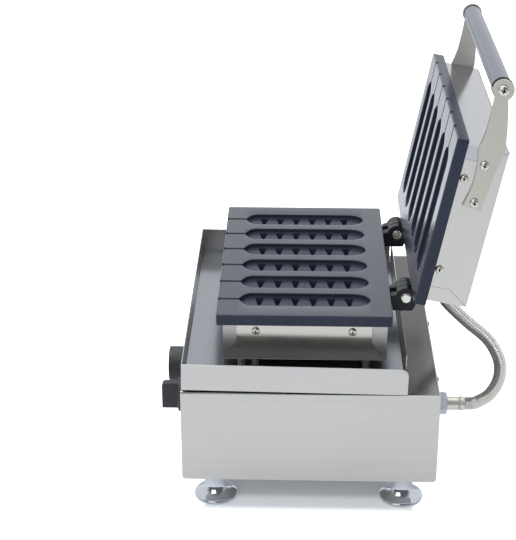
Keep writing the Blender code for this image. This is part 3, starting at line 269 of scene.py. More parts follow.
class Nodes:
    """Adds nodes to a node tree. A value is a number or the socket that it comes from."""

    def __init__(self, tree):
        self.tree = tree

    def node(self, kind, **values):
        made = self.tree.nodes.new(kind)
        for key, value in values.items():
            setattr(made, key, value)
        return made

    def link(self, source, target):
        self.tree.links.new(source, target)

    def feed(self, value, target):
        if isinstance(value, (int, float)):
            target.default_value = value
        else:
            self.link(value, target)

    def calc(self, a, b, operation="ADD"):
        made = self.node("ShaderNodeMath", operation=operation)
        self.feed(a, made.inputs[0])
        self.feed(b, made.inputs[1])
        return made.outputs[0]

    def ranged(self, value, low, high, out_low=0.0, out_high=1.0, curve="LINEAR"):
        """A value carried over from low..high to out_low..out_high, and held beyond both ends."""
        made = self.node("ShaderNodeMapRange", interpolation_type=curve)
        for key, number in zip(("Value", "From Min", "From Max", "To Min", "To Max"),
                               (value, low, high, out_low, out_high)):
            self.feed(number, made.inputs[key])
        return made.outputs["Result"]

    def parts(self, vector):
        split = self.node("ShaderNodeSeparateXYZ")
        self.link(vector, split.inputs[0])
        return split.outputs

    def light_path(self):
        """Two sockets: 1 for rays from the camera, and 1 for those and rays off gloss or in glass."""
        path = self.node("ShaderNodeLightPath").outputs
        seen = path["Is Camera Ray"]
        for word in ("Is Glossy Ray", "Is Transmission Ray"):
            seen = self.calc(seen, path[word], "MAXIMUM")
        return path["Is Camera Ray"], seen


class Finish(Nodes):
    """Builds one material from small steps."""

    def __init__(self, name, color, roughness, metallic=0.0):
        self.made = bpy.data.materials.new(name)
        self.made.use_nodes = True
        self.made.diffuse_color = (*color, 1.0)
        super().__init__(self.made.node_tree)
        self.shader = self.tree.nodes["Principled BSDF"]
        self.given({"Base Color": (*color, 1.0), "Roughness": roughness, "Metallic": metallic})
        self.places = self.node("ShaderNodeTexCoord").outputs

    def given(self, values):
        """Set inputs of the shader."""
        for key, value in values.items():
            self.shader.inputs[key].default_value = value

    def stretched(self, scale=(1.0, 1.0, 1.0), turn=NO_TURN):
        """Object coordinates, turned by turn and stretched by scale along each axis."""
        turned_map = self.node("ShaderNodeMapping", vector_type="POINT")
        turned_map.inputs["Rotation"].default_value = turn
        self.link(self.places["Object"], turned_map.inputs["Vector"])
        scaled = self.node("ShaderNodeMapping", vector_type="POINT")
        scaled.inputs["Scale"].default_value = scale
        self.link(turned_map.outputs[0], scaled.inputs["Vector"])
        return scaled.outputs[0]

    def noise(self, place, scale, detail, rough):
        made = self.node("ShaderNodeTexNoise")
        made.inputs["Scale"].default_value = scale
        made.inputs["Detail"].default_value = detail
        made.inputs["Roughness"].default_value = rough
        self.link(place, made.inputs["Vector"])
        return made.outputs["Fac"]

    def attribute(self, name):
        return self.node("ShaderNodeAttribute", attribute_name=name).outputs["Fac"]

    def mixed(self, share, a, b):
        """Colour a where share is 0, colour b where it is 1."""
        made = self.node("ShaderNodeMix", data_type="RGBA")
        self.link(share, made.inputs[0])
        for slot, value in zip((made.inputs[6], made.inputs[7]), (a, b)):
            if isinstance(value, tuple):
                slot.default_value = (*value, 1.0)
            else:
                self.link(value, slot)
        return made.outputs[2]

    def bump(self, height, distance, strength=1.0):
        made = self.node("ShaderNodeBump")
        made.inputs["Distance"].default_value = distance
        made.inputs["Strength"].default_value = strength
        self.link(height, made.inputs["Height"])
        self.link(made.outputs["Normal"], self.shader.inputs["Normal"])

    def done(self, color, roughness):
        self.link(color, self.shader.inputs["Base Color"])
        self.link(roughness, self.shader.inputs["Roughness"])
        return self.made


def shade(color, share):
    """A colour made darker or lighter by a share."""
    return tuple(min(1.0, max(0.0, c * share)) for c in color)


def brushed_steps(name, color, roughness, grain="Y", turn=NO_TURN, grain_depth=0.000002, blotch=1.0,
                  metallic=1.0):
    """Finish, colour and roughness of brushed sheet: long fine streaks along grain, soft clouds and
    faint handling marks."""
    made = Finish(name, color, roughness, metallic)
    stretch = {"X": (6.0, 900.0, 900.0), "Y": (900.0, 6.0, 900.0), "Z": (900.0, 900.0, 6.0)}[grain]
    streaks = made.noise(made.stretched(stretch, turn), 1.0, 4.0, 0.6)
    wide = tuple(s / 7.0 for s in stretch)
    bands = made.noise(made.stretched(wide, turn), 1.0, 3.0, 0.6)
    place = made.stretched(turn=turn)
    clouds = made.noise(place, 9.0, 3.0, 0.5)
    marks = made.noise(place, 38.0, 5.0, 0.65)
    tone = made.calc(made.ranged(streaks, 0.3, 0.7, 0.0, 0.5), made.ranged(bands, 0.35, 0.65, 0.0, 0.5))
    plain = made.mixed(tone, shade(color, 0.965), shade(color, 1.03))
    cloudy = made.mixed(made.ranged(clouds, 0.35, 0.7, 0.0, 0.3 * blotch), plain, shade(color, 0.93))
    gloss = made.ranged(streaks, 0.25, 0.75, roughness - 0.02, roughness + 0.04)
    gloss = made.calc(gloss, made.ranged(clouds, 0.4, 0.7, 0.0, 0.03 * blotch))
    gloss = made.calc(gloss, made.ranged(marks, 0.55, 0.75, 0.0, 0.04 * blotch))
    made.bump(streaks, grain_depth, 0.5)
    made.given({"Anisotropic": 0.25})
    return made, cloudy, gloss


def brushed(*values, **named):
    """Brushed sheet of one colour."""
    made, tone, gloss = brushed_steps(*values, **named)
    return made.done(tone, gloss)


def tray_sheet(name, color, roughness, inside, reach, floor_level, slope):
    """Brushed tray with painted shade on its floor: the colour changes at the distance reach from mid width
    and above the floor, which rises forward by slope."""
    made, tone, gloss = brushed_steps(name, color, roughness, metallic=0.9)
    place = made.parts(made.places["Object"])
    across = made.calc(place["X"], 0.0, "ABSOLUTE")
    height = made.calc(made.calc(place["Y"], slope, "MULTIPLY"), place["Z"])
    # Painted shade: 1 on the tray's floor within its walls, where the colour turns to inside
    painted_shade_share = made.calc(made.ranged(across, reach - 0.0002, reach, 0.9, 0.0),
                        made.ranged(height, floor_level, floor_level + 0.002, 1.0, 0.0), "MULTIPLY")
    return made.done(made.mixed(painted_shade_share, tone, inside), gloss)


def deck_sheet_with_painted_reflection(name, color, roughness, painted_reflection, top, fade):
    """Brushed sheet with a painted reflection of the dark parts above its top: darker above the level top,
    and less so towards the machine's right side, between the two distances of fade."""
    made, tone, gloss = brushed_steps(name, color, roughness)
    place = made.parts(made.places["Object"])
    above = made.ranged(place["Z"], top - 0.0009, top - 0.0002)
    # Painted reflection of the dark parts above: the deck's top is darker, less so towards +X
    painted_reflection_share = made.calc(above, made.ranged(place["X"], *fade, 0.95, 0.55), "MULTIPLY")
    return made.done(made.mixed(painted_reflection_share, tone, painted_reflection), gloss)


def cast_coat(name, color, roughness, turn=NO_TURN, varnish=0.0, face=None):
    """Sprayed non-stick coat on a machined casting: fine specks, slight cloudiness, worn sheen. face
    is (level, side): beyond that level, in the hollows, the glossy top coat is thin."""
    made = Finish(name, color, roughness)
    made.given({"Specular IOR Level": 0.22, "Coat Weight": varnish, "Coat IOR": 1.32,
                "Coat Roughness": 0.18, "Specular Tint": (0.86, 0.92, 1.0, 1.0)})
    place = made.stretched(turn=turn)
    if face is not None:
        level, side = face
        depth = made.calc(made.calc(made.parts(place)["Z"], level, "SUBTRACT"), side, "MULTIPLY")
        thinned = made.ranged(depth, 0.0007, 0.0016, varnish, 0.06 * varnish)
        made.link(thinned, made.shader.inputs["Coat Weight"])
    specks = made.noise(place, 2600.0, 2.0, 0.6)
    grain = made.noise(place, 700.0, 4.0, 0.6)
    clouds = made.noise(place, 14.0, 3.0, 0.55)
    rubbed = made.noise(made.stretched((4.0, 60.0, 60.0), turn), 1.0, 4.0, 0.6)
    tone = made.mixed(made.ranged(clouds, 0.35, 0.65), shade(color, 0.88), shade(color, 1.12))
    tone = made.mixed(made.ranged(specks, 0.62, 0.8, 0.0, 0.1), tone, shade(color, 1.5))
    gloss = made.calc(made.ranged(grain, 0.3, 0.7, roughness - 0.015, roughness + 0.02),
                      made.ranged(rubbed, 0.55, 0.75, 0.0, -0.02))
    made.bump(grain, 0.0000008, 0.5)
    return made.done(tone, gloss)


def moulded(name, color, roughness, scale=1500.0, shine=0.5):
    """Moulded plastic or glazed ceramic: a fine grain, and slow clouds in its colour and gloss."""
    made = Finish(name, color, roughness)
    made.given({"Specular IOR Level": shine})
    place = made.stretched()
    grain = made.noise(place, scale, 3.0, 0.6)
    clouds = made.noise(place, 45.0, 3.0, 0.6)
    tone = made.mixed(made.ranged(clouds, 0.35, 0.7), shade(color, 0.85), shade(color, 1.2))
    gloss = made.calc(made.ranged(grain, 0.3, 0.7, roughness - 0.06, roughness + 0.06),
                      made.ranged(clouds, 0.5, 0.75, 0.0, 0.06))
    made.bump(grain, 0.00004, 0.5)
    return made.done(tone, gloss)


def polished(name, color, roughness, tint=0.92, metallic=1.0):
    """Plated or polished metal: almost even, with faint clouds and fine scratches."""
    made = Finish(name, color, roughness, metallic)
    clouds = made.noise(made.stretched(), 60.0, 4.0, 0.6)
    scratches = made.noise(made.stretched((900.0, 40.0, 300.0), (0.3, 0.5, 0.2)), 1.0, 2.0, 0.5)
    tone = made.mixed(made.ranged(clouds, 0.4, 0.7), color, shade(color, tint))
    gloss = made.calc(made.ranged(clouds, 0.4, 0.7, roughness, roughness + 0.05),
                      made.ranged(scratches, 0.6, 0.8, 0.0, 0.05))
    made.bump(scratches, 0.000004, 0.6)
    return made.done(tone, gloss)


def cross_head(name, color, roughness):
    """Plated screw head with painted shade in its cross: the first channel of its surface map is 1 inside
    the cross, which is painted dark.
    """
    made = Finish(name, color, roughness, 1.0)
    place = made.stretched()
    clouds = made.noise(place, 300.0, 3.0, 0.6)
    grain = made.noise(place, 2200.0, 2.0, 0.6)
    tone = made.mixed(made.ranged(clouds, 0.4, 0.7), color, shade(color, 0.92))
    # Painted shade in the cross recess
    recess = made.ranged(made.parts(made.places["UV"])["X"], 0.15, 0.6)
    tone = made.mixed(recess, tone, shade(color, 0.05))
    made.bump(grain, 0.000006, 0.6)
    return made.done(tone, made.ranged(clouds, 0.4, 0.7, roughness, roughness + 0.06))


def drawn(name, color, roughness, axis="X"):
    """Drawn tube or rod: long die lines along its axis and a satin sheen."""
    return brushed(name, color, roughness, axis, grain_depth=0.000008, blotch=0.6)


def braided(name, color, roughness, strand_wires):
    """Woven wire: each strand is a flat ribbon of wires, each with a painted highlight along it and painted
    shade between. The surface map holds the two strand families' phases, the attribute over says which lies
    on top, and the strand beneath gets painted shade; depth brings painted shade to the low parts of the
    weave, and inner is 1 on the inside of the bend, which gets painted shade."""
    made = Finish(name, color, roughness, 1.0)
    phases = made.parts(made.places["UV"])
    heights = []
    for word in ("X", "Y"):
        wave = made.calc(phases[word], 2.0 * math.pi * strand_wires, "MULTIPLY")
        heights.append(made.calc(wave, 0.0, "SINE"))
    over, depth, inner = (made.attribute(word) for word in ("over", "depth", "inner"))
    under_part = made.calc(heights[1], made.calc(1.0, over, "SUBTRACT"), "MULTIPLY")
    wires = made.calc(made.calc(heights[0], over, "MULTIPLY"), under_part)
    # Painted highlight along each wire and painted shade between the wires
    tone = made.mixed(made.ranged(wires, -1.0, 0.4), shade(color, 0.75), shade(color, 1.3))
    # Painted shade on the strand that lies under the other
    tone = made.mixed(made.ranged(over, 0.0, 1.0, 0.25, 0.0), tone, shade(color, 0.4))
    # Painted shade on the inside of the bend
    tone = made.mixed(made.ranged(inner, 0.0, 1.0, 0.0, 0.72), tone, shade(color, 0.12))
    # Painted shade in the low parts of the weave
    tone = made.mixed(made.ranged(depth, 0.3, 0.8, 0.6, 0.0), tone, shade(color, 0.15))
    specks = made.noise(made.stretched(), 900.0, 2.0, 0.5)
    gloss = made.ranged(specks, 0.3, 0.7, roughness - 0.06, roughness + 0.08)
    made.bump(wires, 0.00012, 0.8)
    return made.done(tone, gloss)


def lens(name, color):
    """Clear coloured lens with a little cloudiness inside."""
    made = Finish(name, color, 0.12)
    made.given({"Transmission Weight": 0.35, "Coat Weight": 0.5})
    clouds = made.noise(made.stretched(), 500.0, 3.0, 0.6)
    tone = made.mixed(made.ranged(clouds, 0.35, 0.7), color, shade(color, 0.7))
    return made.done(tone, made.ranged(clouds, 0.3, 0.7, 0.08, 0.2))


def dial_face(name, color, centre, ink):
    """Satin disc with thirty printed marks: dark where the angle round the shaft falls on a mark
    and the distance from the shaft lies in the ring of marks."""
    marks = 30.0
    positive = 100.0
    made = Finish(name, color, 0.35, 0.9)
    place = made.parts(made.places["Object"])
    x = made.calc(place["X"], centre[0], "SUBTRACT")
    z = made.calc(place["Z"], centre[1], "SUBTRACT")
    angle = made.calc(z, x, "ARCTAN2")
    reach = made.calc(made.calc(made.calc(x, x, "MULTIPLY"), made.calc(z, z, "MULTIPLY")), 0.5, "POWER")
    step = made.calc(made.calc(angle, marks / (2.0 * math.pi), "MULTIPLY"), positive)
    off = made.calc(made.calc(made.calc(step, 1.0, "MODULO"), 0.5, "SUBTRACT"), 0.0, "ABSOLUTE")
    mark = made.ranged(off, 0.08, 0.11, 1.0, 0.0)
    mark = made.calc(mark, made.ranged(reach, 0.0204, 0.0206), "MULTIPLY")
    mark = made.calc(mark, made.ranged(reach, 0.0218, 0.0220, 1.0, 0.0), "MULTIPLY")
    grain = made.noise(made.stretched((6.0, 900.0, 900.0)), 1.0, 3.0, 0.6)
    tone = made.mixed(made.ranged(grain, 0.3, 0.7), shade(color, 0.94), shade(color, 1.05))
    tone = made.mixed(mark, tone, ink)
    made.bump(grain, 0.00001)
    return made.done(tone, made.ranged(grain, 0.3, 0.7, 0.3, 0.42))


MATERIALS = {}


# Sizes and colours that a user would change

class PlateSizes(bpy.types.PropertyGroup):
    """Cooking plates."""

    cavity_count: IntProperty(name="Cavities", description="Sticks side by side", default=6, min=1)
    pitch: FloatProperty(name="Pitch", description="From one cavity to the next", default=0.0455,
                         unit="LENGTH", precision=4)
    width: FloatProperty(name="Width", description="Width of a cavity at its mouth", default=0.033,
                         unit="LENGTH", precision=4)
    length: FloatProperty(name="Length", description="Length of a cavity", default=0.1454,
                          unit="LENGTH", precision=4)
    front: FloatProperty(name="Front land", description="From the plate's front edge to the cavities",
                         default=0.0223, unit="LENGTH", precision=4)
    ledge: FloatProperty(name="Ledge depth", description="From the face down to the ledge",
                         default=0.0046, unit="LENGTH", precision=4)
    pocket_count: IntProperty(name="Pockets", description="Pockets along a cavity", default=6, min=1)
    pocket_pitch: FloatProperty(name="Pocket pitch", description="From one pocket to the next",
                                default=0.0197, unit="LENGTH", precision=4)
    pocket_depth: FloatProperty(name="Pocket depth", description="Below the ledge", default=0.0088,
                                unit="LENGTH", precision=4)
    stick: FloatProperty(name="Stick groove", description="Radius of the groove for the stick",
                         default=0.0021, unit="LENGTH", precision=4)
    edge: FloatProperty(name="Edge", description="Rounding of the plate's outer edges",
                        default=0.0006, unit="LENGTH", precision=4)


class FastenerSizes(bpy.types.PropertyGroup):
    """Screws and nuts."""

    side_head: FloatProperty(name="Side screw", description="Head radius of the casing screws",
                             default=0.0045, unit="LENGTH", precision=4)
    arm_head: FloatProperty(name="Arm screw", description="Head radius of the arm screws",
                            default=0.0049, unit="LENGTH", precision=4)
    handle_head: FloatProperty(name="Handle screw", description="Head radius of the handle screws",
                               default=0.00575, unit="LENGTH", precision=5)
    rise_share: FloatProperty(name="Rise", description="Rise of a head, as a share of its radius",
                              default=0.55, subtype="FACTOR", min=0.0, max=1.0)
    cross_share: FloatProperty(name="Cross", description="Reach of the cross, as a share of the radius",
                               default=0.46, subtype="FACTOR", min=0.0, max=1.0)


class HoseSizes(bpy.types.PropertyGroup):
    """Braided hose."""

    radius: FloatProperty(name="Radius", description="Outer radius", default=0.0072, unit="LENGTH",
                          precision=4)
    strands: IntProperty(name="Strands", description="Strands in each direction", default=12, min=4)
    lead: FloatProperty(name="Lead", description="Length in which a strand goes once round",
                        default=0.036, unit="LENGTH", precision=3)
    relief: FloatProperty(name="Relief", description="How far a strand rises over the next",
                          default=0.00022, unit="LENGTH", precision=5)


class KnobSizes(bpy.types.PropertyGroup):
    """Knobs and feet."""

    flutes: IntProperty(name="Flutes", description="Grooves round the temperature knob", default=60)
    flute_depth: FloatProperty(name="Flute depth", description="Depth of a groove", default=0.0003,
                               unit="LENGTH", precision=5)
    foot_radius: FloatProperty(name="Foot", description="Radius of a foot at the floor",
                               default=0.0245, unit="LENGTH", precision=4)


class FinishColours(bpy.types.PropertyGroup):
    """Colours of the finishes."""

    steel: FloatVectorProperty(name="Stainless", description="Brushed sheet", subtype="COLOR",
                               default=(0.545, 0.53, 0.508), min=0.0, max=1.0)
    coat: FloatVectorProperty(name="Non-stick", description="Coat of the plates", subtype="COLOR",
                              default=(0.030, 0.037, 0.060), min=0.0, max=1.0)
    black: FloatVectorProperty(name="Black", description="Hinges", subtype="COLOR",
                               default=(0.006, 0.007, 0.010), min=0.0, max=1.0)
    plastic: FloatVectorProperty(name="Plastic", description="Knobs, timer and gland", subtype="COLOR",
                                 default=(0.022, 0.022, 0.028), min=0.0, max=1.0)
    tube: FloatVectorProperty(name="Handle", description="Drawn aluminium", subtype="COLOR",
                              default=(0.21, 0.225, 0.27), min=0.0, max=1.0)
    chrome: FloatVectorProperty(name="Chrome", description="Feet", subtype="COLOR",
                                default=(0.58, 0.61, 0.65), min=0.0, max=1.0)
    screws: FloatVectorProperty(name="Screws", description="Plain screws", subtype="COLOR",
                                default=(0.72, 0.70, 0.64), min=0.0, max=1.0)
    floor: FloatVectorProperty(name="Floor", description="Studio floor", subtype="COLOR",
                               default=(0.83, 0.87, 0.92), min=0.0, max=1.0)


def make_finishes(colours):
    """All materials of the machine, by the finish's name."""
    steel, coat, screws = (tuple(color) for color in (colours.steel, colours.coat, colours.screws))
    lid_turn = (OPEN_ANGLE, 0.0, 0.0)
    spin = np.array(Matrix.Rotation(OPEN_ANGLE, 3, "X"))
    lid_level = float((spin @ (HINGE + DATUM))[2] - LID_PIN[2])
    deck_top = DATUM[2] - 0.0786
    tray_inner = 0.1846
    tray_rear = 0.2065
    tray_floor = float(DATUM[2] - 0.0773 + (tray_rear + DATUM[1]) * TRAY_SLOPE + 0.0006)
    dial_centre = (0.091 + DATUM[0], -0.133 + DATUM[2])
    MATERIALS.update({
        # The deck's dark top colour is a painted reflection of the dark parts above it
        "sheet_deck": deck_sheet_with_painted_reflection("sheet_with_painted_reflection_deck", steel, 0.18, (0.105, 0.10, 0.105), deck_top,
                                 (0.06, 0.19)),
        "sheet_across": brushed("sheet_brushed_across", steel, 0.18, "X"),
        "sheet_lid": brushed("lid_sheet_brushed", (0.575, 0.56, 0.528), 0.15, "Y", lid_turn),
        "sheet_cap": brushed("lid_cap_sheet_brushed", (0.50, 0.505, 0.53), 0.15, "X", lid_turn),
        "sheet_casing": brushed("casing_sheet_brushed", (0.61, 0.585, 0.54), 0.16, metallic=0.88),
        "sheet_cap_low": brushed("casing_cap_brushed", shade(steel, 0.95), 0.38, "Z"),
        # The tray's darker, bluish floor colour is painted shade under the lower casing
        "sheet_tray": tray_sheet("tray_sheet_brushed", (0.555, 0.54, 0.525), 0.16, (0.30, 0.325, 0.365),
                                 tray_inner, tray_floor, TRAY_SLOPE),
        "sheet_arm": brushed("arm_sheet_brushed", (0.52, 0.498, 0.44), 0.22, "Y", lid_turn),
        "sheet_arm_left": brushed("left_arm_sheet_brushed", (0.60, 0.585, 0.54), 0.4, "Y", lid_turn,
                                  metallic=0.45),
        "coat": cast_coat("plate_coat", coat, 0.27, NO_TURN, 0.95, (DATUM[2], -1.0)),
        "coat_lid": cast_coat("lid_plate_coat", coat, 0.22, lid_turn, 0.8, (lid_level, 1.0)),
        "black": cast_coat("hinge_black_coat", tuple(colours.black), 0.3, varnish=0.35),
        "plastic": moulded("black_moulding", tuple(colours.plastic), 0.42),
        "rings": moulded("end_ring_moulding", (0.003, 0.003, 0.004), 0.5, shine=0.04),
        "tube": drawn("handle_drawn_aluminium", tuple(colours.tube), 0.2),
        "chrome": polished("foot_chrome", tuple(colours.chrome), 0.04),
        "screws": polished("plain_screws", screws, 0.18),
        "heads": cross_head("cross_head_screws", screws, 0.2),
        "small_heads": cross_head("small_grey_screws", shade(screws, 0.55), 0.25),
        "zinc": polished("zinc_plate", (0.86, 0.92, 1.0), 0.25, 0.85, 0.1),
        "posts": drawn("post_stainless", (0.36, 0.34, 0.26), 0.3, "Z"),
        "ferrule": drawn("ferrule_stainless", (0.76, 0.75, 0.70), 0.4, "Y"),
        "braid": braided("stainless_braid", (0.84, 0.80, 0.735), 0.24, 4.0),
        "sheath": drawn("element_sheath", (0.2, 0.19, 0.18), 0.45, "X"),
        "ceramic": moulded("glazed_ceramic", (0.78, 0.77, 0.72), 0.5, 600.0),
        "green": lens("green_lens", (0.05, 0.45, 0.12)),
        "amber": lens("amber_lens", (0.85, 0.35, 0.04)),
        "dial": dial_face("timer_dial_face", (0.62, 0.64, 0.66), dial_centre, (0.02, 0.02, 0.02)),
    })


# Cooking plates

def plate_points(sizes):
    """The cooking face of a plate and its rounded border as one grid of (x, y, depth) points.

    Rows are stations along Y and columns run along X. Across a cavity the columns follow the
    outline w(y): an ogive at the front tip, w = W (1 - (1 - s / 17 mm) ^ 2.6), and half an ellipse
    at the rear tip. From the outline they go down a rounded edge, a wall and a fillet, each point
    offset along the outline's inward normal, and then straight across the ledge, whose depth grows
    by that of the pockets. A pocket is a triangle across the cavity: its half width m(x) falls
    evenly from 5.2 mm at -X to 0.1 mm at +X, the rows are drawn together by m / 5.2 mm so that they
    follow its sides, and its depth is the least of two steep slopes, softly limited.
    """
    half_plate = PLATE_HIGH.x
    depth_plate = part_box("lower_plate")[1].y - PLATE_LOW.y
    half = sizes.width / 2.0
    front = sizes.front
    rear = front + sizes.length
    front_taper = 0.017
    rear_taper = 0.019
    power = 2.6
    middle = (front + rear) / 2.0
    edge = sizes.edge
    corner = 0.003

    start = front_taper * (1.0 - (1.0 - sizes.stick / half) ** (1.0 / power))
    tip = front + start + (front_taper - start) * np.linspace(0.0, 1.0, 13) ** 1.6
    tail = rear - rear_taper * (1.0 - np.sin(np.linspace(0.5 * math.pi, 0.0, 15)))
    offsets = np.array([-9.85, -8.0, -6.6, -5.8, -5.45, -5.2, -5.0, -4.75, -4.45, -4.2, -4.0,
                        -3.0, -2.0, -1.0, 0.0])
    offsets = np.concatenate([offsets, -offsets[:-1][::-1]]) * 0.001
    centres = middle + sizes.pocket_pitch * (np.arange(sizes.pocket_count) - (sizes.pocket_count - 1) / 2.0)
    pockets = (centres[:, None] + offsets[None, :]).ravel()
    inside = np.unique(np.round(np.concatenate([tip, tail, pockets]), 6))
    inside = inside[(inside >= front + start - 1e-9) & (inside <= rear + 1e-9)]
    keep = np.concatenate([[True], np.diff(inside) > 0.0001])
    inside = inside[keep]
    inside[0] = front + start
    inside[-1] = rear

    s_front = np.clip((inside - front) / front_taper, 0.0, 1.0)
    s_rear = np.clip((rear - inside) / rear_taper, 0.0, 1.0)
    ogive = 1.0 - (1.0 - s_front) ** power
    ellipse = np.sqrt(np.maximum(0.0, 1.0 - (1.0 - s_rear) ** 2))
    width = half * ogive * ellipse
    slope = (half * power / front_taper * (1.0 - s_front) ** (power - 1.0) * (s_front < 1.0) * ellipse
             - half * ogive * (1.0 - s_rear) / rear_taper / np.maximum(ellipse, 1e-4) * (s_rear < 1.0))
    length = np.sqrt(1.0 + slope * slope)
    normal_x = -1.0 / length
    normal_y = slope / length

    turn = np.radians(np.linspace(0.0, 90.0, 5))
    edge_r = 0.0007
    foot_r = 0.0004
    ring = np.concatenate([
        np.stack([edge_r * np.sin(turn), edge_r * (1.0 - np.cos(turn))], 1),
        np.array([[edge_r, sizes.ledge * 0.55]]),
        np.stack([edge_r + foot_r * (1.0 - np.cos(turn)), sizes.ledge - foot_r * (1.0 - np.sin(turn))], 1),
    ])
    floor_share = np.array([0.0, 0.1, 0.2, 0.3, 0.4, 0.5, 0.6, 0.7, 0.77, 0.8, 0.82, 0.84, 0.87,
                            0.9, 0.92, 0.935, 0.97, 1.0])
    floor_share = np.concatenate([-floor_share[::-1], floor_share[1:]])

    # Profile across the stick groove: a half circle, a little wider at the plate's front edge
    steps = len(ring) * 2 + len(floor_share) - 2
    sweep = np.linspace(-0.5 * math.pi, 0.5 * math.pi, steps)
    groove_x = sizes.stick * np.sin(sweep)
    groove_d = sizes.stick * np.cos(sweep)

    rounding = edge * (1.0 - np.cos(turn))
    before = np.concatenate([rounding, [0.002, 0.003, 0.008, 0.015],
                             [front + start - 0.0004, front + start - 0.00002]])
    after = np.concatenate([rear + np.array([0.0006, 0.002, 0.006, 0.012]),
                            [depth_plate - 0.003, depth_plate - 0.002], depth_plate - rounding[::-1]])
    rows_y = np.concatenate([before, inside, after])
    rows = len(rows_y)
    first = len(before)
    last = first + len(inside)

    # Depth of the rounded border at each row, and how far the corners stand in
    border = np.minimum(rows_y, depth_plate - rows_y)

    def rounded(radius):
        drop = radius - np.sqrt(np.maximum(0.0, radius ** 2 - (radius - border) ** 2))
        return np.where(border < radius, drop, 0.0)

    rim_depth = rounded(edge)
    corner_in = rounded(corner)

    strip_x = np.zeros((rows, steps))
    strip_y = np.repeat(rows_y[:, None], steps, axis=1)
    strip_d = np.repeat(rim_depth[:, None], steps, axis=1)
    flare = 1.0 + 0.6 * smooth_step(0.0031, 0.0019, rows_y[:first])[:, None]
    strip_x[:first] = groove_x * flare
    strip_d[:first] = np.maximum(groove_d * flare, rim_depth[:first, None])
    ring_x = width[:, None] + normal_x[:, None] * ring[None, :, 0]
    ring_y = inside[:, None] + normal_y[:, None] * ring[None, :, 0]
    ring_x = np.maximum(ring_x, 0.0)
    count = len(ring)
    strip_x[first:last, -count:] = ring_x[:, ::-1]
    strip_x[first:last, :count] = -ring_x
    strip_y[first:last, -count:] = ring_y[:, ::-1]
    strip_y[first:last, :count] = ring_y
    strip_d[first:last, -count:] = ring[::-1, 1]
    strip_d[first:last, :count] = ring[:, 1]
    inner = slice(count - 1, steps - count + 1)
    strip_x[first:last, inner] = ring_x[:, -1:] * floor_share[None, :]
    strip_y[first:last, inner] = ring_y[:, -1:]

    # Pockets: mouth is the half width m, soft rounds the foot and the brink of the slopes
    pocket_half = 0.01425
    pocket_end = 0.0152
    wide = 0.0052
    narrow = 0.0001
    half_step = 0.00985
    soft = 0.0003
    x = strip_x[first:last, inner]
    y = strip_y[first:last, inner]
    nearest = centres[np.abs(y[..., None] - centres).argmin(-1)]
    along = np.abs(y - nearest)
    share = (pocket_half - np.clip(x, -pocket_half, pocket_half)) / (2.0 * pocket_half)
    mouth = narrow + (wide - narrow) * share
    bottom = sizes.pocket_depth * np.clip(mouth / 0.0024, 0.0, 1.0)
    least = np.minimum((pocket_half - np.abs(x)) / 0.0017, (wide - along) / 0.0010) * bottom
    least = 0.5 * (least + np.sqrt(least ** 2 + soft ** 2))
    left = bottom - least
    pocket = bottom - 0.5 * (left + np.sqrt(left ** 2 + soft ** 2))
    pocket = np.maximum(pocket, 0.0) * (np.abs(x) < pocket_end)
    strip_d[first:last, inner] = sizes.ledge + pocket
    beyond = mouth + (along - wide) * (half_step - mouth) / (half_step - wide)
    spread = np.where(along < wide, along * mouth / wide, beyond)
    moved = nearest + np.sign(y - nearest) * spread
    strip_y[first:last, inner] = np.where((along < half_step) & (np.abs(x) < pocket_end), moved, y)

    # Columns from left to right: border, then flat land and cavity in turn, then border
    columns = []
    cavities = sizes.cavity_count
    centres_x = sizes.pitch * (np.arange(cavities) - (cavities - 1) / 2.0)
    reach = half_plate - corner_in

    def column(x_values, y_values, depth_values):
        columns.append(np.stack([x_values, y_values, depth_values], 1))

    def side(sign, order):
        made = [(sign * reach, np.full(rows, depth)) for depth in (PLATE_RIM, PLATE_RIM - 0.0006, 0.006)]
        for angle in turn[::-1]:
            depth = edge * (1.0 - math.cos(angle))
            made.append((sign * (reach - edge * (1.0 - math.sin(angle))), np.maximum(rim_depth, depth)))
        made.append((sign * (reach - 0.004), rim_depth))
        for x_values, depths in made[::order]:
            column(x_values, rows_y, depths)

    side(-1.0, 1)
    for i, middle_x in enumerate(centres_x):
        for k in range(steps):
            column(middle_x + strip_x[:, k], strip_y[:, k], strip_d[:, k])
        if i < cavities - 1:
            for k in (-0.0035, 0.0, 0.0035):
                column(np.full(rows, middle_x + sizes.pitch / 2.0 + k), rows_y, rim_depth)
    side(1.0, -1)
    grid = np.stack(columns, 1)

    # Front and rear faces: the border rows repeated down to the rim's depth
    faces = []
    for row, y_face in ((grid[0], 0.0), (grid[-1], depth_plate)):
        face = np.stack([row, row])
        face[0, :, 2] = PLATE_RIM
        face[1, :, 2] = np.maximum(row[:, 2], 0.006)
        face[:, :, 1] = y_face
        faces.append(face)
    return np.concatenate([faces[0], grid, faces[1][::-1]]), depth_plate


def cooking_plate(name, sizes, side, body, finish, node):
    """One plate: its face grid, and a back that steps in to the boss inside the casing."""
    boss_half = 0.1464
    boss_depth = 0.0874
    boss_middle = 0.0959
    boss_back = 0.0224
    plate_half = 0.095
    points, depth_plate = plate_points(sizes)
    skin = Skin()
    index = skin.grid(points * np.array([1.0, 1.0, side]))
    loop = np.concatenate([index[0, :-1], index[:-1, -1], index[-1, :0:-1], index[:0:-1, 0]])
    rim = np.concatenate(skin.points)[loop]
    boss = rim * np.array([boss_half / PLATE_HIGH.x, 1.0, 0.0])
    boss[:, 1] = boss_middle + (rim[:, 1] - depth_plate / 2.0) * boss_depth / plate_half
    rows = [rim]
    for depth in (PLATE_RIM, boss_back):
        ring = boss.copy()
        ring[:, 2] = side * depth
        rows.append(ring)
    back = skin.grid(np.stack(rows), closed=True)
    skin.polygon(back[-1, :-1])
    return finished(skin.object(name, PLACES[body], 28.0), body, "nonstick", finish, node)


# Fasteners

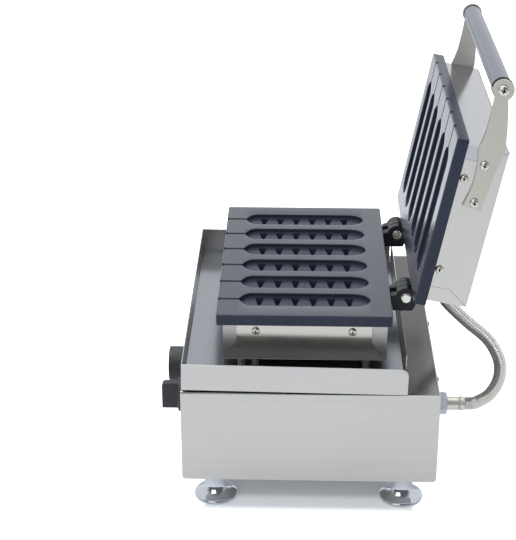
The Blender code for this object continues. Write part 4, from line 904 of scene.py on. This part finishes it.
def screw_head(skin, centre, axis, radius, rise, cross, slot_turn):
    """Pan head with a cross recess. Height over the seat is rise (1 - (r / R) ^ 3) ^ (1 / 2.6),
    less the recess, which is deep where the point lies within either arm of the cross."""
    rings = np.concatenate([np.linspace(0.0, 0.62, 17), [0.7, 0.78, 0.85, 0.91, 0.955, 0.985, 1.0]])
    turn = np.linspace(0.0, 2.0 * math.pi, 64, endpoint=False)
    r = rings[:, None] * np.ones_like(turn)[None, :]
    height = (1.0 - r ** 3) ** (1.0 / 2.6)
    x = r * np.cos(turn + slot_turn)
    y = r * np.sin(turn + slot_turn)
    arm = 0.09 + 0.06 * (1.0 - r / cross).clip(0.0, 1.0)
    first = np.maximum(np.abs(x) - cross, np.abs(y) - arm)
    second = np.maximum(np.abs(y) - cross, np.abs(x) - arm)
    inside = np.clip(-np.minimum(first, second) / 0.07, 0.0, 1.0)
    height = height - inside * (0.85 - 0.45 * r / cross)
    a, b, along = frame_of(axis)
    flat = np.stack([x, y], -1) @ np.stack([a, b]) * radius + np.asarray(centre)
    points = flat + rise * height[..., None] * along
    # The surface map's first channel marks the cross for its painted shade
    shaded = np.stack([inside, r], -1)
    skin.grid(points, closed=True, uv=np.concatenate([shaded, shaded[:, :1]], axis=1))
    seat = np.stack([flat[-1], flat[-1] - 0.0002 * along, flat[0] - 0.0002 * along])
    skin.grid(seat, closed=True, uv=np.zeros((3, 65, 2)))


def screw(name, places, radius, sizes, body, finish, nodes=(), turn=0.4):
    """Cross-head screws at (centre, axis) places as one piece, each turned further than the last."""
    skin = Skin()
    rise = radius * sizes.rise_share * 1.1
    for i, (centre, axis) in enumerate(places):
        screw_head(skin, centre, axis, radius, rise, sizes.cross_share, turn + 0.7 * i)
    return finished(skin.object(name, PLACES[body], 32.0), body, "screw_steel", finish, *nodes)


def hexagon_reach(turn, flats):
    """Distance from a hexagon's centre to its side in direction turn."""
    sector = math.pi / 3.0
    return flats / 2.0 / np.cos((turn + sector / 2.0) % sector - sector / 2.0)


def hexagon_head(skin, centre, axis, flats, height, bore=0.0, spin=0.0):
    """Hexagon with turned chamfers: radius is the hexagon's reach, limited near both ends by a
    cone. bore leaves a hole through it and spin turns it by an angle."""
    levels = np.array([0.0, 0.08, 0.16, 0.5, 0.84, 0.92, 1.0]) * height
    turn = np.linspace(0.0, 2.0 * math.pi, 72, endpoint=False)
    reach = hexagon_reach(turn - spin, flats)[None, :]
    near = np.minimum(levels, height - levels)[:, None]
    radius = np.minimum(reach, flats * 0.5 * 1.005 + near * 1.75)
    a, b, along = frame_of(axis)
    spokes = np.cos(turn)[:, None] * a + np.sin(turn)[:, None] * b
    outer = np.asarray(centre) + radius[..., None] * spokes[None] + levels[:, None, None] * along
    low = np.asarray(centre) + bore * spokes[None]
    high = low + height * along
    rows = [low, outer, high]
    if bore > 0.0:
        rows.append(low)
    skin.grid(np.concatenate(rows), closed=True)


# Operators

class DressPlates(bpy.types.Operator):
    """Model both cooking plates with their cavities, pockets and stick grooves"""

    bl_idname = "waffle.plates"
    bl_label = "Cooking Plates"

    def execute(self, context):
        sizes = context.scene.waffle_plates
        cooking_plate("lower_cooking_plate", sizes, -1.0, "base", "coat", "lower_plate")
        cooking_plate("lid_cooking_plate", sizes, 1.0, "lid", "coat_lid", "upper_plate")
        return {"FINISHED"}


class DressSheetMetal(bpy.types.Operator):
    """Round the sheet pieces' edges and give them their brushed finishes"""

    bl_idname = "waffle.sheet_metal"
    bl_label = "Sheet Metal"

    def execute(self, context):
        pieces = (
            ("base_cover", "base", "sheet_deck", 0.00035),
            ("base_chassis", "base", "sheet_across", 0.0003),
            ("drip_tray", "base", "sheet_tray", 0.0002),
            ("lower_casing", "base", "sheet_casing", 0.00015),
            ("lower_front_cap", "base", "sheet_cap_low", 0.00015),
            ("lower_rear_cap", "base", "sheet_cap_low", 0.00015),
            ("lid_casing", "lid", "sheet_lid", 0.0002),
            ("lid_front_cap", "lid", "sheet_cap", 0.0002),
            ("lid_rear_cap", "lid", "sheet_lid", 0.0003),
            ("handle_arm_right", "lid", "sheet_arm", 0.0005),
            ("handle_arm_left", "lid", "sheet_arm_left", 0.0005),
            ("lower_clamp_plate", "base", "sheet_casing", 0.0003),
            ("upper_clamp_plate", "lid", "sheet_lid", 0.0003),
        )
        for node, body, finish, width in pieces:
            finished(refined(node, node + "_folded", width), body, "stainless", finish, node)
        return {"FINISHED"}


class DressHinges(bpy.types.Operator):
    """Model the hinge bolts and round the hinge castings"""

    bl_idname = "waffle.hinges"
    bl_label = "Hinges"

    def execute(self, context):
        block_half = 0.0153
        centre = (0.0, HINGE[1], HINGE[2])
        for word, x in (("right", 0.088), ("left", -0.088)):
            for level, piece, body in (("lower", "lower", "base"), ("upper", "lid", "lid")):
                node = "hinge_block_" + level + "_" + word
                made = refined(node, "hinge_" + piece + "_casting_" + word, 0.0011, 3, 32.0)
                finished(made, body, "hinge_black", "black", node)
            right = x + block_half + GAP
            left = x - block_half - GAP
            seat = right + 0.0009
            skin = Skin()
            shank = [(0.0, left - 0.0052), (0.0029, left - 0.0052), (0.0033, left - 0.0048),
                     (0.0033, right + 0.0004), (0.0, right + 0.0004)]
            turned(skin, shank, centre, X_AXIS, 40)
            washer = [(0.0034, right), (0.0051, right), (0.0053, right + 0.0002), (0.0053, right + 0.0007),
                      (0.0034, seat), (0.0034, right)]
            turned(skin, washer, centre, X_AXIS, 48)
            hexagon_head(skin, (seat, *centre[1:]), X_AXIS, 0.0092, 0.0031)
            made = skin.object("hinge_bolt_" + word + "_turned", base_place, 25.0)
            finished(made, "base", "screw_steel", "screws", "hinge_bolt_" + word)
            skin = Skin()
            hexagon_head(skin, (left, *centre[1:]), (-1.0, 0.0, 0.0), 0.0100, 0.0048, 0.0035)
            made = skin.object("hinge_nut_" + word + "_turned", base_place, 25.0)
            finished(made, "base", "screw_steel", "screws", "hinge_nut_" + word)
        return {"FINISHED"}


class DressHandle(bpy.types.Operator):
    """Model the handle tube, its end rings and the screws of the handle and its arms"""

    bl_idname = "waffle.handle"
    bl_label = "Handle"

    def execute(self, context):
        sizes = context.scene.waffle_fasteners
        eye = (0.0, -0.0573, 0.0328)
        radius = 0.010
        bore = radius - 0.0018
        inner = CASING_HALF + GAP
        near_flange = 0.0070
        far_flange = 0.0012
        start = -inner + 2.0 * GAP + far_flange
        reach = inner - 2.0 * GAP - near_flange
        profile = [(bore, start), (radius - 0.0003, start), (radius, start + 0.0003)]
        profile += [(radius, x) for x in np.linspace(start + 0.0004, reach - 0.0004, 9)]
        profile += [(radius, reach - 0.0003), (radius - 0.0003, reach), (bore, reach), (bore, start)]
        turned_piece("handle_tube_drawn", profile, eye, X_AXIS, 96, lid_place, ("lid", "aluminium", "tube"),
                     "handle_tube")
        for word, sign, ring, flange in (("right", 1.0, 0.01125, near_flange),
                                         ("left", -1.0, 0.0102, far_flange)):
            seat = inner - GAP
            lip = seat - flange
            far = lip - 0.012
            plug = bore - GAP
            profile = [(0.0, seat), (ring - 0.0004, seat), (ring, seat - 0.0004), (ring, lip + 0.0008),
                       (ring - 0.0003, lip + 0.0003), (ring - 0.0008, lip), (plug, lip),
                       (plug, far + 0.0004), (plug - 0.0005, far), (0.0, far)]
            profile = [(r, sign * h) for r, h in profile]
            turned_piece("handle_end_ring_" + word + "_moulded", profile, eye, X_AXIS, 72, lid_place,
                         ("lid", "black_plastic", "rings"), "handle_end_ring_" + word)
            outward = (sign, 0.0, 0.0)
            face = sign * (inner + ARM_SHEET + GAP)
            node = "handle_screw_" + word
            screw(node + "_head", [((face, *eye[1:]), outward)], sizes.handle_head, sizes, "lid", "heads",
                  (node,))
            for row, y, turn in (("front", 0.0238, 0.2), ("rear", 0.0655, 0.9)):
                node = "arm_screw_" + row + "_" + word
                screw(node + "_head", [((face, y, 0.0343), outward)], sizes.arm_head, sizes, "lid", "heads",
                      (node,), turn)
        return {"FINISHED"}


class DressFasteners(bpy.types.Operator):
    """Model the small screws of both casings and of the base's rear lip"""

    bl_idname = "waffle.fasteners"
    bl_label = "Small Screws"

    def execute(self, context):
        sizes = context.scene.waffle_fasteners
        small_head = 0.0032
        side = CASING_HALF + GAP
        for name, level, body in (("lower", -PLATE_RIM - 0.0093, "base"),
                                  ("lid", PLATE_RIM + 0.0055, "lid")):
            spots = [((sign * side, y, level), (sign, 0.0, 0.0))
                     for sign in (1.0, -1.0) for y in (0.0427, 0.1473)]
            screw(name + "_casing_screws", spots, sizes.side_head, sizes, body, "heads")
        spots = [((x, 0.0112, 0.0569), Z_AXIS) for x in (0.138, -0.138)]
        screw("lid_back_screws", spots, small_head, sizes, "lid", "small_heads")
        spots = [((x, BASE_REAR + GAP, -0.085), Y_AXIS) for x in (0.136, 0.0, -0.136)]
        screw("rear_lip_screws", spots, small_head, sizes, "base", "small_heads")
        return {"FINISHED"}


class DressFeet(bpy.types.Operator):
    """Model the four bell-shaped chrome feet"""

    bl_idname = "waffle.feet"
    bl_label = "Feet"

    def execute(self, context):
        radius = context.scene.waffle_knobs.foot_radius
        height = 0.038 - GAP
        stud = height + 0.013
        side = [(0.985, 0.0), (1.0, 0.02), (1.0, 0.06), (0.985, 0.085), (0.93, 0.115), (0.84, 0.155),
                (0.73, 0.205), (0.64, 0.265), (0.57, 0.335), (0.52, 0.42), (0.49, 0.52), (0.475, 0.64),
                (0.48, 0.76), (0.535, 0.88), (0.575, 0.925), (0.59, 0.955), (0.58, 1.0)]
        line = smooth_line(side, 3) * np.array([radius, height])
        profile = np.concatenate([[(0.0, 0.0)], line, [(0.004, height), (0.004, stud), (0.0, stud)]])
        for row, y in (("front", -0.002), ("rear", 0.2064)):
            for word, x in (("right", 0.1531), ("left", -0.1531)):
                node = "foot_" + row + "_" + word
                turned_piece(node + "_bell", profile, (x, y, -DATUM[2]), Z_AXIS, 96, base_place,
                             ("base", "chrome", "chrome"), node, 40.0)
        return {"FINISHED"}


class DressControls(bpy.types.Operator):
    """Model the temperature knob and its pointer, and round the timer knob"""

    bl_idname = "waffle.controls"
    bl_label = "Controls"

    def execute(self, context):
        sizes = context.scene.waffle_knobs
        low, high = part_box("temperature_knob")
        radius = (high.x - low.x) / 2.0
        centre = ((high.x + low.x) / 2.0, 0.0, (high.z + low.z) / 2.0)
        depth = high.y - low.y
        body_radius = radius - 0.0006
        sunk = depth - 0.0012

        def fluted(r, h, t):
            share = smooth_step(0.12, 0.25, h / depth) * smooth_step(0.97, 0.86, h / depth)
            share = share * (r > radius * 0.9)
            return r - share * sizes.flute_depth * (0.5 + 0.5 * np.cos(sizes.flutes * t))

        line = [(0.0, 0.0), (radius - 0.0004, 0.0), (radius, 0.0004), (radius, 0.0030),
                (body_radius, 0.0036)]
        line += [(body_radius, h) for h in np.linspace(0.004, depth - 0.002, 10)]
        line += arc(radius - 0.0021, depth - 0.0015, 0.0015, 0.0, 90.0)
        line += [(radius * 0.74, depth), (radius * 0.70, sunk), (0.0, sunk)]
        skin = Skin()
        turned(skin, line, (centre[0], high.y, centre[2]), (0.0, -1.0, 0.0), 360, fluted)
        made = skin.object("temperature_knob_fluted", None, 40.0)
        finished(made, "temperature_control", "black_plastic", "plastic", "temperature_knob")
        self.pointer(centre, radius, high.y - sunk)
        made = refined("timer_knob", "timer_knob_moulded", 0.0007, 3, 30.0)
        finished(made, "timer_control", "black_plastic", "plastic", "timer_knob")
        return {"FINISHED"}

    def pointer(self, centre, radius, front):
        """A pale bar that stands just out of the temperature knob's face."""
        skin = Skin()
        x = centre[0] + np.linspace(-0.0006, 0.0006, 3)
        z = centre[2] + np.linspace(radius * 0.25, radius * 0.66, 7)
        levels = (front - 0.0002, front + 0.0001)
        for y in levels:
            skin.grid(np.array([[(a, y, c) for c in z] for a in x]))
        outline = [(a, z[0]) for a in x] + [(x[-1], c) for c in z[1:]]
        outline += [(a, z[-1]) for a in x[-2::-1]] + [(x[0], c) for c in z[-2:0:-1]]
        skin.grid(np.array([[(a, y, c) for a, c in outline] for y in levels]), closed=True)
        made = skin.object("temperature_pointer", None, 30.0)
        finished(made, "temperature_control", "ceramic", "ceramic")


class DressHose(bpy.types.Operator):
    """Model the braided hose and its fittings"""

    bl_idname = "waffle.hose"
    bl_label = "Braided Hose"

    def execute(self, context):
        sizes = context.scene.waffle_hose
        line = hose_line()
        run = np.concatenate([[0.0], np.cumsum(np.linalg.norm(np.diff(line, axis=0), axis=1))])
        length = run[-1]
        rows = 620
        columns = 96
        station = np.linspace(0.0, length, rows)
        centre = np.stack([np.interp(station, run, line[:, k]) for k in range(3)], 1)
        first, second = carried_frame(centre)
        share = np.linspace(0.0, 1.0, columns + 1)
        one, two, over, height = woven(sizes, station[:, None], share[None, :])
        ends = np.minimum(station, length - station)[:, None]
        height = 1.0 - (1.0 - height) * smooth_step(0.0, 0.002, ends)
        radius = sizes.radius - sizes.relief * (1.0 - height)
        turn = 2.0 * math.pi * share[None, :-1, None]
        outward = np.cos(turn) * first[:, None, :] + np.sin(turn) * second[:, None, :]
        points = centre[:, None, :] + radius[:, :-1, None] * outward

        # Painted shade for the braid: the inside of the bend, where the surface faces its middle, and more
        # of it near the base
        bend_middle = (0.0, 0.252, -0.098)
        away = (centre - DATUM - bend_middle) * (0.0, 1.0, 1.0)
        away /= np.linalg.norm(away, axis=1)[:, None]
        late = 0.5 * smooth_step(0.62, 0.95, station / length)[:, None]
        inner = smooth_step(0.02, -0.16, (outward * away[:, None, :]).sum(-1) + late)

        skin = Skin()
        index = skin.grid(points, closed=True, uv=np.stack([one, two], -1))
        mesh = bpy.data.meshes.new("hose_braid")
        faces = skin.faces + [index[0, :-1].tolist()[::-1], index[-1, :-1].tolist()]
        mesh.from_pydata(np.concatenate(skin.points).tolist(), [], faces)
        layer = mesh.uv_layers.new(name="Surface")
        corners = np.concatenate([skin.corners[0], np.zeros((2 * columns, 2))])
        layer.data.foreach_set("uv", corners.ravel())
        for name, values in (("over", over[:, :-1]), ("depth", height[:, :-1]), ("inner", inner)):
            attribute = mesh.attributes.new(name, "FLOAT", "POINT")
            attribute.data.foreach_set("value", values.ravel().astype(np.float32))
        made = worked(mesh, face_outwards)
        made.data.materials.append(MATERIALS["braid"])
        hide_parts("braided_hose")
        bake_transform(made)
        self.fittings()
        return {"FINISHED"}

    def fittings(self):
        """Adapter, union nut and ferrules, turned on the hose's axis, and the gland of the mains cord."""
        start = BASE_REAR + GAP
        union = start + 0.0056
        profile = [(0.0, 0.226), (0.0068, 0.226), (0.0070, 0.2262), (0.0070, 0.2412), (0.0108, 0.2412),
                   (0.0115, 0.2418), (0.0115, start + 0.0050), (0.0108, union), (0.0, union)]
        turned_piece("hose_adapter_turned", profile, HOSE_BASE, Y_AXIS, 72, base_place,
                     ("base", "zinc", "zinc"), "hose_adapter")
        skin = Skin()
        hexagon_head(skin, (HOSE_BASE[0], union, HOSE_BASE[2]), Y_AXIS, 0.0222, 0.0102,
                     spin=math.radians(36.0))
        made = skin.object("hose_union_nut_chamfered", base_place, 25.0)
        finished(made, "base", "zinc", "zinc", "hose_union_nut")
        begin = union + GAP + 0.012
        radius = 0.0076
        neck = radius - 0.0009
        profile = [(0.0, begin - 0.0016), (radius - 0.0003, begin - 0.0016), (radius, begin - 0.0013),
                   (radius, begin + 0.0104), (neck, begin + 0.0108), (neck, begin + 0.0114)]
        bead = np.linspace(-0.5 * math.pi, 0.5 * math.pi, 9)
        profile += [(radius - 0.0005 + 0.0011 * math.cos(t), begin + 0.0146 + 0.0030 * math.sin(t))
                    for t in bead]
        profile += [(neck, begin + 0.0180), (neck, begin + 0.0186), (0.0, begin + 0.0186)]
        turned_piece("hose_ferrule_crimped", profile, HOSE_BASE, Y_AXIS, 72, base_place,
                     ("base", "stainless", "ferrule"), "hose_ferrule_base")
        outer = CASING_REAR + GAP
        profile = [(0.0, 0.1764), (0.0070, 0.1764), (0.0070, outer), (0.0110, outer),
                   (0.0115, outer + 0.0005), (0.0115, outer + 0.0025), (0.0110, outer + 0.0030),
                   (radius, outer + 0.0030), (radius, outer + 0.0096), (radius - 0.0004, outer + 0.0100),
                   (0.0, outer + 0.0100)]
        turned_piece("hose_ferrule_lid_turned", profile, HOSE_LID, Y_AXIS, 72, lid_place,
                     ("lid", "stainless", "ferrule"), "hose_ferrule_lid")
        skin = Skin()
        gland = (-0.12, 0.0, -0.150)
        bore = 0.0045
        seat = start + 0.0028
        profile = [(bore, 0.2275), (0.0070, 0.2275), (0.0070, start), (0.0106, start),
                   (0.0110, start + 0.0004), (0.0110, start + 0.0024), (0.0106, seat), (bore, seat),
                   (bore, 0.2275)]
        turned(skin, profile, gland, Y_AXIS, 48)
        hexagon_head(skin, (gland[0], seat, gland[2]), Y_AXIS, 0.018, 0.0092, bore)
        made = skin.object("mains_gland_moulded", base_place)
        finished(made, "base", "black_plastic", "plastic", "mains_gland")


def hose_line():
    """World points of the hose's centre line: straight at both fittings and a Catmull-Rom curve
    between the route's points, as in the solid."""
    route = np.array([
        (0.0465, 0.2466, -0.0125), (0.0500, 0.2580, -0.0315), (0.0560, 0.2812, -0.0528),
        (0.0640, 0.3040, -0.0700), (0.0720, 0.3158, -0.0864), (0.0780, 0.3197, -0.1018),
        (0.0850, 0.3167, -0.1158), (0.0915, 0.3072, -0.1285), (0.0970, 0.2940, -0.1345),
    ]) + DATUM
    lid_ends = lid_place(HOSE_LID + np.array([[0.0, 0.1954, 0.0], [0.0, 0.2021, 0.0]]))
    end = HOSE_BASE + np.array([0.0, 0.2793, 0.0]) + DATUM
    end_before = end + np.array([0.0, 0.0067, 0.0])
    knots = np.concatenate([lid_ends, route, [end_before, end]])
    t = np.linspace(0.0, 1.0, 24, endpoint=False)[:, None]
    spans = [0.5 * (2.0 * b + (c - a) * t + (2.0 * a - 5.0 * b + 4.0 * c - d) * t ** 2
                    + (3.0 * b - a - 3.0 * c + d) * t ** 3)
             for a, b, c, d in zip(knots[:-3], knots[1:-2], knots[2:-1], knots[3:])]
    return np.concatenate([knots[:1]] + spans + [knots[-2:]])


def carried_frame(centre):
    """Two unit vectors across a line at each of its points, carried along it without a twist."""
    ahead = np.gradient(centre, axis=0)
    ahead /= np.linalg.norm(ahead, axis=1)[:, None]
    first = np.zeros_like(ahead)
    first[0] = np.cross(ahead[0], Z_AXIS)
    first[0] /= np.linalg.norm(first[0])
    for i in range(1, len(centre)):
        flat = first[i - 1] - ahead[i] * np.dot(first[i - 1], ahead[i])
        first[i] = flat / np.linalg.norm(flat)
    return first, np.cross(ahead, first)


def woven(sizes, station, share):
    """Both strand families' phases over the hose's surface, 1 where the first family lies on top,
    and the height of the surface from 0 to 1."""
    one = sizes.strands * (share + station / sizes.lead)
    two = sizes.strands * (share - station / sizes.lead)
    highs = []
    for own, other, sign in ((one, two, 1.0), (two, one, -1.0)):
        odd = np.where(np.floor(own) % 2 == 0, sign, -sign)
        hump = np.sqrt(np.maximum(0.0, 1.0 - (2.0 * (own % 1.0) - 1.0) ** 4))
        highs.append(np.sin(math.pi * (other % 2.0)) * odd * 0.6 + hump)
    height = np.maximum(*highs)
    height = (height - height.min()) / (height.max() - height.min())
    return one, two, (highs[0] > highs[1]).astype(float), height


class DressPosts(bpy.types.Operator):
    """Model the posts and the conduit between the deck and the lower casing"""

    bl_idname = "waffle.posts"
    bl_label = "Posts"

    def execute(self, context):
        look = ("base", "stainless", "posts")
        stud = 0.0025
        for word in ("front_right", "front_left", "rear_right", "rear_left"):
            node = "casing_post_" + word
            low, high, radius, centre = upright(node)
            deck = low + 0.0045
            top = high - 0.0045
            profile = [(0.0, low), (stud, low), (stud, deck), (radius - 0.0004, deck),
                       (radius, deck + 0.0004), (radius, top - 0.0004), (radius - 0.0004, top),
                       (stud, top), (stud, high), (0.0, high)]
            turned_piece(node + "_turned", profile, centre, Z_AXIS, 48, None, look, node)
        node = "wiring_conduit"
        low, high, radius, centre = upright(node)
        bore = radius - 0.001
        profile = [(bore, low), (radius, low), (radius, high), (bore, high), (bore, low)]
        turned_piece(node + "_drawn", profile, centre, Z_AXIS, 48, None, look, node)
        return {"FINISHED"}


def upright(node):
    """Bottom, top, radius and axis point of a solid that stands upright, in world coordinates."""
    low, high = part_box(node)
    return low.z, high.z, (high.x - low.x) / 2.0, ((low.x + high.x) / 2.0, (low.y + high.y) / 2.0, 0.0)


class DressInside(bpy.types.Operator):
    """Finish the solids that keep their own shape, inside the machine and on its panels"""

    bl_idname = "waffle.inside"
    bl_label = "Inner Parts"

    def execute(self, context):
        kept = {
            "lower_element": "sheath", "upper_element": "sheath", "temperature_probe": "chrome",
            "thermostat": "ceramic", "terminal_block": "ceramic", "timer": "plastic",
            "temperature_shaft": "screws", "timer_shaft": "screws", "timer_dial": "dial",
            "power_lamp": "green", "heating_lamp": "amber",
        }
        for node, finish in kept.items():
            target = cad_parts[node]
            if not target.material_slots:
                target.data.materials.append(MATERIALS[finish])
            for slot in target.material_slots:
                slot.material = MATERIALS[finish]
        return {"FINISHED"}


class SetStage(bpy.types.Operator):
    """Set the camera, the pale floor and the soft studio light"""

    bl_idname = "waffle.stage"
    bl_label = "Studio"

    def execute(self, context):
        scene = context.scene
        scene.view_settings.view_transform = "Standard"
        self.camera(scene)
        self.floor(tuple(scene.waffle_colours.floor))
        self.world(scene)
        self.lamps()
        return {"FINISHED"}

    def camera(self, scene):
        data = bpy.data.cameras.new("photo_view")
        data.sensor_fit = "VERTICAL"
        data.sensor_height = 36.0
        data.lens = 98.05
        data.clip_start = 0.05
        data.clip_end = 60.0
        camera = bpy.data.objects.new("photo_view", data)
        pitch, yaw, roll = (math.radians(v) for v in (24.58, -1.63, -0.04))
        forward = Vector((-math.cos(yaw) * math.cos(pitch), math.sin(yaw) * math.cos(pitch),
                          -math.sin(pitch)))
        level = Vector((math.sin(yaw), math.cos(yaw), 0.0))
        upward = level.cross(forward)
        right = level * math.cos(roll) + upward * math.sin(roll)
        up = upward * math.cos(roll) - level * math.sin(roll)
        turn = Matrix((right, up, -forward)).transposed()
        camera.matrix_world = Matrix.Translation((1.56514, -0.04491, 0.92483)) @ turn.to_4x4()
        scene.collection.objects.link(camera)
        scene.camera = camera

    def paper_level(self, paper):
        """Glow of the paper: 0.22 in reflections; for the camera it grows with the distance from the area
        under the base, where its low glow is a painted shadow that deepens the real shadow under the base."""
        place = paper.parts(paper.places["Object"])
        middle = DATUM[1] + 0.1022
        half_x = 0.140
        half_y = 0.108
        x_off = paper.calc(paper.calc(place["X"], 0.0, "ABSOLUTE"), half_x, "SUBTRACT")
        y_off = paper.calc(paper.calc(place["Y"], middle, "SUBTRACT"), 0.0, "ABSOLUTE")
        y_off = paper.calc(y_off, half_y, "SUBTRACT")
        # Painted shadow: the glow rises in two soft steps in front of the base and in one beside it
        along_x = paper.calc(paper.ranged(x_off, 0.010, 0.026, 0.0, 0.2, "SMOOTHSTEP"),
                             paper.ranged(x_off, 0.036, 0.054, 0.0, 0.68, "SMOOTHSTEP"))
        along_y = paper.ranged(y_off, 0.0, 0.016, 0.0, 0.88, "SMOOTHSTEP")
        painted_shadow_patch = paper.calc(paper.calc(along_x, along_y, "MAXIMUM"), 0.06)
        camera, seen = paper.light_path()
        direct = paper.calc(painted_shadow_patch, camera, "MULTIPLY")
        other = paper.calc(seen, camera, "SUBTRACT")
        return paper.calc(direct, paper.calc(other, 0.22, "MULTIPLY"))

    def floor(self, color):
        skin = Skin()
        ticks = np.linspace(-9.0, 9.0, 13)
        x, y = np.meshgrid(ticks, ticks, indexing="ij")
        skin.grid(np.stack([x, y, np.zeros_like(x)], -1))
        made = skin.object("studio_floor")
        paper = Finish("studio_floor_paper", color, 0.8)
        paper.given({"Specular IOR Level": 0.2})
        glow = paper.node("ShaderNodeEmission")
        glow.inputs["Color"].default_value = (0.96, 0.985, 1.0, 1.0)
        paper.link(self.paper_level(paper), glow.inputs["Strength"])
        both = paper.node("ShaderNodeAddShader")
        paper.link(paper.shader.outputs[0], both.inputs[0])
        paper.link(glow.outputs[0], both.inputs[1])
        paper.link(both.outputs[0], paper.tree.nodes["Material Output"].inputs["Surface"])
        made.data.materials.append(paper.made)

    def world(self, scene):
        """Pale surroundings: full for the camera, 0.45 as light, dimmer towards +X in reflections."""
        world = bpy.data.worlds.new("studio_world")
        scene.world = world
        world.use_nodes = True
        nodes = Nodes(world.node_tree)
        background = nodes.tree.nodes["Background"]
        background.inputs["Color"].default_value = (0.97, 0.985, 1.0, 1.0)
        place = nodes.parts(nodes.node("ShaderNodeTexCoord").outputs["Generated"])
        dim = nodes.ranged(place["X"], 0.05, 0.6, 1.0, 0.16, "SMOOTHSTEP")
        camera, seen = nodes.light_path()
        shown = nodes.ranged(camera, 0.0, 1.0, dim, 1.0)
        nodes.link(nodes.ranged(seen, 0.0, 1.0, 0.45, shown), background.inputs["Strength"])

    def lamps(self):
        for name, place, size, power in (("overhead_softbox", (-0.45, -0.2, 2.3), 2.0, 36.0),
                                         ("right_softbox", (2.2, -0.9, 1.6), 1.6, 14.0)):
            data = bpy.data.lights.new(name, "AREA")
            data.shape = "SQUARE"
            data.size = size
            data.energy = power
            lamp = bpy.data.objects.new(name, data)
            aim = Vector((0.0, 0.0, 0.15)) - Vector(place)
            turn = aim.to_track_quat("-Z", "Y").to_matrix().to_4x4()
            lamp.matrix_world = Matrix.Translation(place) @ turn
            bpy.context.scene.collection.objects.link(lamp)


class WafflePanel(bpy.types.Panel):
    """Sizes, colours and steps of the waffle stick maker"""

    bl_idname = "VIEW3D_PT_waffle"
    bl_label = "Waffle Stick Maker"
    bl_space_type = "VIEW_3D"
    bl_region_type = "UI"
    bl_category = "Waffle Stick Maker"

    def draw(self, context):
        for step in STEPS:
            self.layout.operator(step.bl_idname)
        for group, _ in GROUPS:
            box = self.layout.box()
            settings = getattr(context.scene, group)
            for key in settings.bl_rna.properties.keys():
                if key not in ("rna_type", "name"):
                    box.prop(settings, key)


STEPS = (SetStage, DressHose, DressPlates, DressSheetMetal, DressHinges, DressHandle, DressFasteners,
         DressFeet, DressControls, DressPosts, DressInside)
GROUPS = (("waffle_plates", PlateSizes), ("waffle_fasteners", FastenerSizes), ("waffle_hose", HoseSizes),
          ("waffle_knobs", KnobSizes), ("waffle_colours", FinishColours))


def register():
    for _, kind in GROUPS:
        bpy.utils.register_class(kind)
    for name, kind in GROUPS:
        setattr(bpy.types.Scene, name, PointerProperty(type=kind))
    for kind in STEPS:
        bpy.utils.register_class(kind)
    bpy.utils.register_class(WafflePanel)


def unregister():
    bpy.utils.unregister_class(WafflePanel)
    for kind in reversed(STEPS):
        bpy.utils.unregister_class(kind)
    for name, kind in GROUPS:
        delattr(bpy.types.Scene, name)
        bpy.utils.unregister_class(kind)


def main():
    register()
    make_finishes(bpy.context.scene.waffle_colours)
    bpy.ops.waffle.stage()
    bpy.ops.waffle.hose()
    bpy.ops.waffle.plates()
    bpy.ops.waffle.sheet_metal()
    bpy.ops.waffle.hinges()
    bpy.ops.waffle.handle()
    bpy.ops.waffle.fasteners()
    bpy.ops.waffle.feet()
    bpy.ops.waffle.controls()
    bpy.ops.waffle.posts()
    bpy.ops.waffle.inside()


if __name__ == "__main__":
    main()
